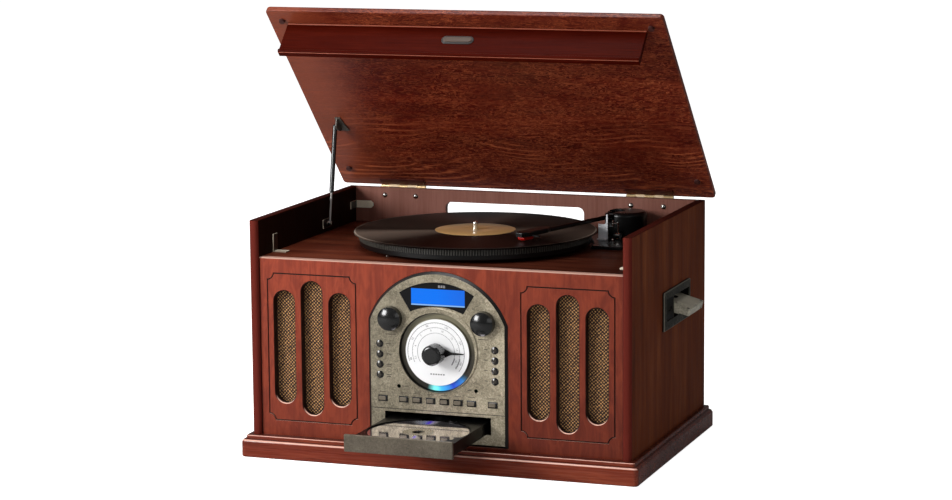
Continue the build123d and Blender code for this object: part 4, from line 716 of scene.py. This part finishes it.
joined = bmesh.new()
for radius, size, values in ((27.0, 3.2, ("5.5", "6", "7", "8", "10", "12", "14", "16")),
                             (33.2, 3.4, ("88", "92", "96", "100", "104", "108"))):
    for index, value in enumerate(values):
        turn = 196 - index * 216 / (len(values) - 1)
        t = radians(turn)
        joined.from_mesh(numeral(f"numeral_{value}", value, scale_centre[0] + radius * cos(t),
                                 scale_centre[1] + radius * sin(t), size, 90 - turn))
mesh = bpy.data.meshes.new("dial_numbers")
bmesh.ops.remove_doubles(joined, verts=joined.verts, dist=0.001 * MM)
joined.to_mesh(mesh)
joined.free()
mesh.materials.append(grey_ink.material)
ride(bpy.data.objects.new("dial_numbers", mesh), "root")

verts, faces = prism([bar(x, 222.0, 2.4, 3.0) for x in (3.2, 6.4, 9.6)], LENS_INK_FACE, 0.12)
ride(mesh_piece("lens_marks", verts, faces, grey_ink), "root")

# ------------------------------------------------------------------ blank badge on the apron
badge_metal = paint("badge_metal", linear(62, 44, 32), 0.34, 0.00001, metal=0.2)
badge_back = paint("badge_back", linear(24, 12, 8), 0.4, 0.00001)
badge_x, badge_drop = -2.0, 19.0
apron_reach = 323.5


def place_on(piece, origin, across, up):
    """Turns a piece made facing -Y so that its X runs along across and its Z along up; origin in mm."""
    inward = up.cross(across)
    turn = Matrix((across, inward, up)).transposed().to_4x4()
    piece.data.transform(Matrix.Translation(Vector(origin) * MM) @ turn)
    return piece


out, down = Vector(lid_out), Vector((0, sin(lid_angle), cos(lid_angle)))
hinge_mm = Vector((0, HINGE_Y, HINGE_Z))
back_layers = [(41, 12, 5.9, 0.0), (41, 12, 5.9, -0.7), (40, 11, 5.4, -1.1)]
plate_layers = [(37, 7.6, 3.7, -1.0), (37, 7.6, 3.7, -1.6), (35.8, 6.4, 3.1, -2.0)]
badge = (("badge_back", badge_back, back_layers), ("badge_plate", badge_metal, plate_layers))
for name, shade, layers in badge:
    piece = cap(name, 0, 0, layers, shade)
    middle = hinge_mm + out * apron_reach - down * badge_drop + Vector((badge_x, 0, 0))
    place_on(piece, middle, Vector(X), down)
    ride(piece, "lid")

# Beads along the apron's top and lower edges; their pale colour is a painted highlight
bead_radius, bead_half_length = 0.9, 229.5
bead_highlight_paint = paint("bead", linear(150, 74, 50), 0.34, 0.000006)
beads = (("apron_bead_top", apron_reach, 0.9), ("apron_bead_foot", apron_reach - 0.1, -43.9))
for name, along, drop in beads:
    verts, steps = [], 6
    for x in (-bead_half_length, bead_half_length):
        for i in range(steps + 1):
            a = -pi / 2 + pi * i / steps
            reach, rise = along + bead_radius * cos(a), drop + bead_radius * sin(a)
            verts.append(hinge_mm + Vector((x, 0, 0)) + out * reach + down * rise)
    rows = steps + 1
    faces = [(i, i + 1, rows + i + 1, rows + i) for i in range(steps)]
    faces += [(0, rows, 2 * rows - 1, rows - 1), tuple(range(rows)), tuple(range(2 * rows - 1, rows - 1, -1))]
    ride(mesh_piece(name, verts, faces, bead_highlight_paint), "lid")

# ------------------------------------------------------------------ cassette details
tilt = radians(16)
cassette_across = Vector((cos(tilt), 0, -sin(tilt)))
cassette_mid = Vector((241.5, 51.2, 179.8))
label_card = paint("label_card", linear(176, 168, 150), 0.6, 0.00001, 700, 0.1)
dark_window = paint("dark_window", linear(30, 27, 24), 0.2, 0.000004)
details = [("cassette_label", label_card, -26, 6, [(88, 38, 3, -4.4), (88, 38, 3, -4.55)]),
           ("cassette_window", dark_window, -28, 4, [(46, 12, 3, -4.4), (46, 12, 3, -4.7)])]
for place, (u, v) in enumerate(((18.5, 28.5), (18.5, -28.5), (-75, 28.5), (-75, -28.5))):
    layers = [(3.4, 3.4, 1.69, -4.4), (3.4, 3.4, 1.69, -4.6)]
    details.append((f"cassette_screw_{place + 1}", dark_window, u, v, layers))
for name, shade, u, v, layers in details:
    piece = cap(name, u, v, layers, shade)
    ride(place_on(piece, cassette_mid, cassette_across, Vector(Y)), "cassette")

# ------------------------------------------------------------------ signal sockets at the back
def collar(name, x, z, inner, outer, near, far, shade, count=32):
    """Flat ring facing +Y round the line through (x, z), from y near to y far."""
    verts = []
    for y in (near, far):
        for radius in (outer, inner):
            verts += [(x + radius * cos(2 * pi * i / count), y, z + radius * sin(2 * pi * i / count))
                      for i in range(count)]
    faces = []
    for first, second in ((0, 1), (1, 3), (3, 2), (2, 0)):
        for i in range(count):
            j = (i + 1) % count
            faces.append((first * count + i, first * count + j, second * count + j, second * count + i))
    return mesh_piece(name, verts, faces, shade)


socket_red = paint("socket_red", linear(176, 30, 24), 0.3, 0.00001)
socket_white = paint("socket_white", linear(226, 224, 216), 0.3, 0.00001)
socket_z, socket_inner, socket_outer, socket_near, socket_far = 70, 2.3, 4.1, 168.2, 168.8
for place, x in enumerate((-123, -101, -79, -57)):
    shade = socket_red if place % 2 else socket_white
    piece = collar(f"socket_ring_{place + 1}", x, socket_z, socket_inner, socket_outer,
                   socket_near, socket_far, shade)
    ride(piece, "root")

# ------------------------------------------------------------------ grille cloths
cloth = Shade("grille_cloth", roughness=0.9, sheen_weight=0.1, sheen_roughness=0.5)
parts = cloth.split()
thread = 2 * pi / 0.0043
waver = cloth.math("MULTIPLY", cloth.noise(160, 2), 0.0022)
warp = cloth.math("SINE", cloth.math("MULTIPLY", cloth.math("ADD", parts[0], waver), thread))
weft = cloth.math("SINE", cloth.math("MULTIPLY", cloth.math("SUBTRACT", parts[2], waver), thread))
weave = cloth.math("MULTIPLY", warp, weft)
fuzz = cloth.noise(500, 2)
tone = cloth.math("ADD", cloth.math("MULTIPLY", weave, 0.5), fuzz)
cloth.set(base_color=cloth.ramp(tone, (0.3, linear(24, 12, 7)), (0.55, linear(84, 52, 30)),
                                (0.9, linear(200, 152, 94))))
cloth.set(normal=cloth.bump(weave, 0.0004, 0.8))
cloth_y, cloth_wave, cloth_thickness = -141.7, 0.25, 0.6
for side, centre in (("left", -SPEAKER_X), ("right", SPEAKER_X)):
    columns, rows = 38, 58
    left, foot = centre - CLOTH_WIDTH / 2, SPEAKER_Z - CLOTH_HEIGHT / 2
    verts = [(left + CLOTH_WIDTH * i / columns, cloth_y + cloth_wave * sin(i * 0.9) * sin(j * 0.7),
              foot + CLOTH_HEIGHT * j / rows) for j in range(rows + 1) for i in range(columns + 1)]
    line = columns + 1
    faces = [(j * line + i, j * line + i + 1, (j + 1) * line + i + 1, (j + 1) * line + i)
             for j in range(rows) for i in range(columns)]
    piece = mesh_piece(f"grille_cloth_{side}", verts, faces, cloth, True)
    piece.modifiers.new("thickness", "SOLIDIFY").thickness = cloth_thickness * MM
    ride(piece, "root")
    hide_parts("grille_cloths")

# ------------------------------------------------------------------ camera
yaw, pitch, roll = radians(19.81), radians(9.15), radians(-0.46)
aim, distance = (-2.7, -7.75, 243.1), 3.415
back = Vector((sin(yaw) * cos(pitch), -cos(yaw) * cos(pitch), sin(pitch)))
right = (-back).cross(Vector(Z)).normalized()
up = right.cross(-back)
right, up = cos(roll) * right + sin(roll) * up, -sin(roll) * right + cos(roll) * up
camera = bpy.data.objects.new("camera", bpy.data.cameras.new("camera"))
camera.data.lens = 104.56
camera.data.sensor_width = 36
camera.data.clip_end = 50
turn = Matrix((right, up, back)).transposed().to_4x4()
camera.matrix_world = Matrix.Translation(Vector(aim) * MM + back * distance) @ turn
bpy.context.scene.collection.objects.link(camera)
bpy.context.scene.camera = camera


# ------------------------------------------------------------------ lights, floor and background
def area(name, place, aim, size, power):
    lamp = bpy.data.lights.new(name, "AREA")
    lamp.shape = "RECTANGLE"
    lamp.size, lamp.size_y = size
    lamp.energy = power
    holder = bpy.data.objects.new(name, lamp)
    holder.location = place
    holder.rotation_mode = "QUATERNION"
    holder.rotation_quaternion = (Vector(aim) - Vector(place)).to_track_quat("-Z", "Y")
    bpy.context.scene.collection.objects.link(holder)
    return holder


area("key", (-1.2, -1.3, 0.85), (0, 0, 0.2), (0.7, 0.7), 30)
area("fill", (1.6, -2.2, 0.9), (0, 0, 0.2), (1.4, 1.0), 4)
area("top", (-0.1, -0.6, 2.1), (0, 0, 0.2), (1.2, 0.9), 20)
area("back", (-0.9, 2.4, 1.2), (0, 0, 0.2), (1.4, 1.0), 12).visible_glossy = False

bpy.context.scene.view_settings.view_transform = "Standard"
# The surroundings are white to the camera, dim as light and dimmer in reflections
AMBIENT = 0.22
MIRRORED = 0.1
world = bpy.data.worlds.new("studio")
bpy.context.scene.world = world
world.use_nodes = True
tree = world.node_tree
rays = tree.nodes.new("ShaderNodeLightPath")
seen = tree.nodes.new("ShaderNodeMath")
seen.operation = "MAXIMUM"
glossy = tree.nodes.new("ShaderNodeMapRange")
glossy.inputs[3].default_value = AMBIENT
glossy.inputs[4].default_value = MIRRORED
level = tree.nodes.new("ShaderNodeMath")
level.operation = "MAXIMUM"
tree.links.new(rays.outputs["Is Camera Ray"], seen.inputs[0])
tree.links.new(rays.outputs["Is Transmission Ray"], seen.inputs[1])
tree.links.new(rays.outputs["Is Glossy Ray"], glossy.inputs[0])
tree.links.new(seen.outputs[0], level.inputs[0])
tree.links.new(glossy.outputs[0], level.inputs[1])
tree.nodes["Background"].inputs["Color"].default_value = (1, 1, 1, 1)
tree.links.new(level.outputs[0], tree.nodes["Background"].inputs["Strength"])

floor_shade = Shade("floor", roughness=0.9)
paths = floor_shade.node("LightPath").outputs
floor_shade.set(base_color=floor_shade.mix(paths["Is Glossy Ray"], (0.8, 0.8, 0.8, 1), (0.34, 0.34, 0.34, 1)))
floor_shade.set(emission_color=(1, 1, 1, 1),
                emission_strength=floor_shade.math("MULTIPLY", paths["Is Camera Ray"], 0.9))
bpy.ops.mesh.primitive_plane_add(size=16, location=(0, 0, -0.0002))
floor = bpy.context.object
floor.name = "floor"
floor.data.materials.append(floor_shade.material)
floor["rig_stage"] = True

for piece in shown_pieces():
    if piece.type == "MESH" and "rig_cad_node" in piece:
        piece.data.shade_smooth()
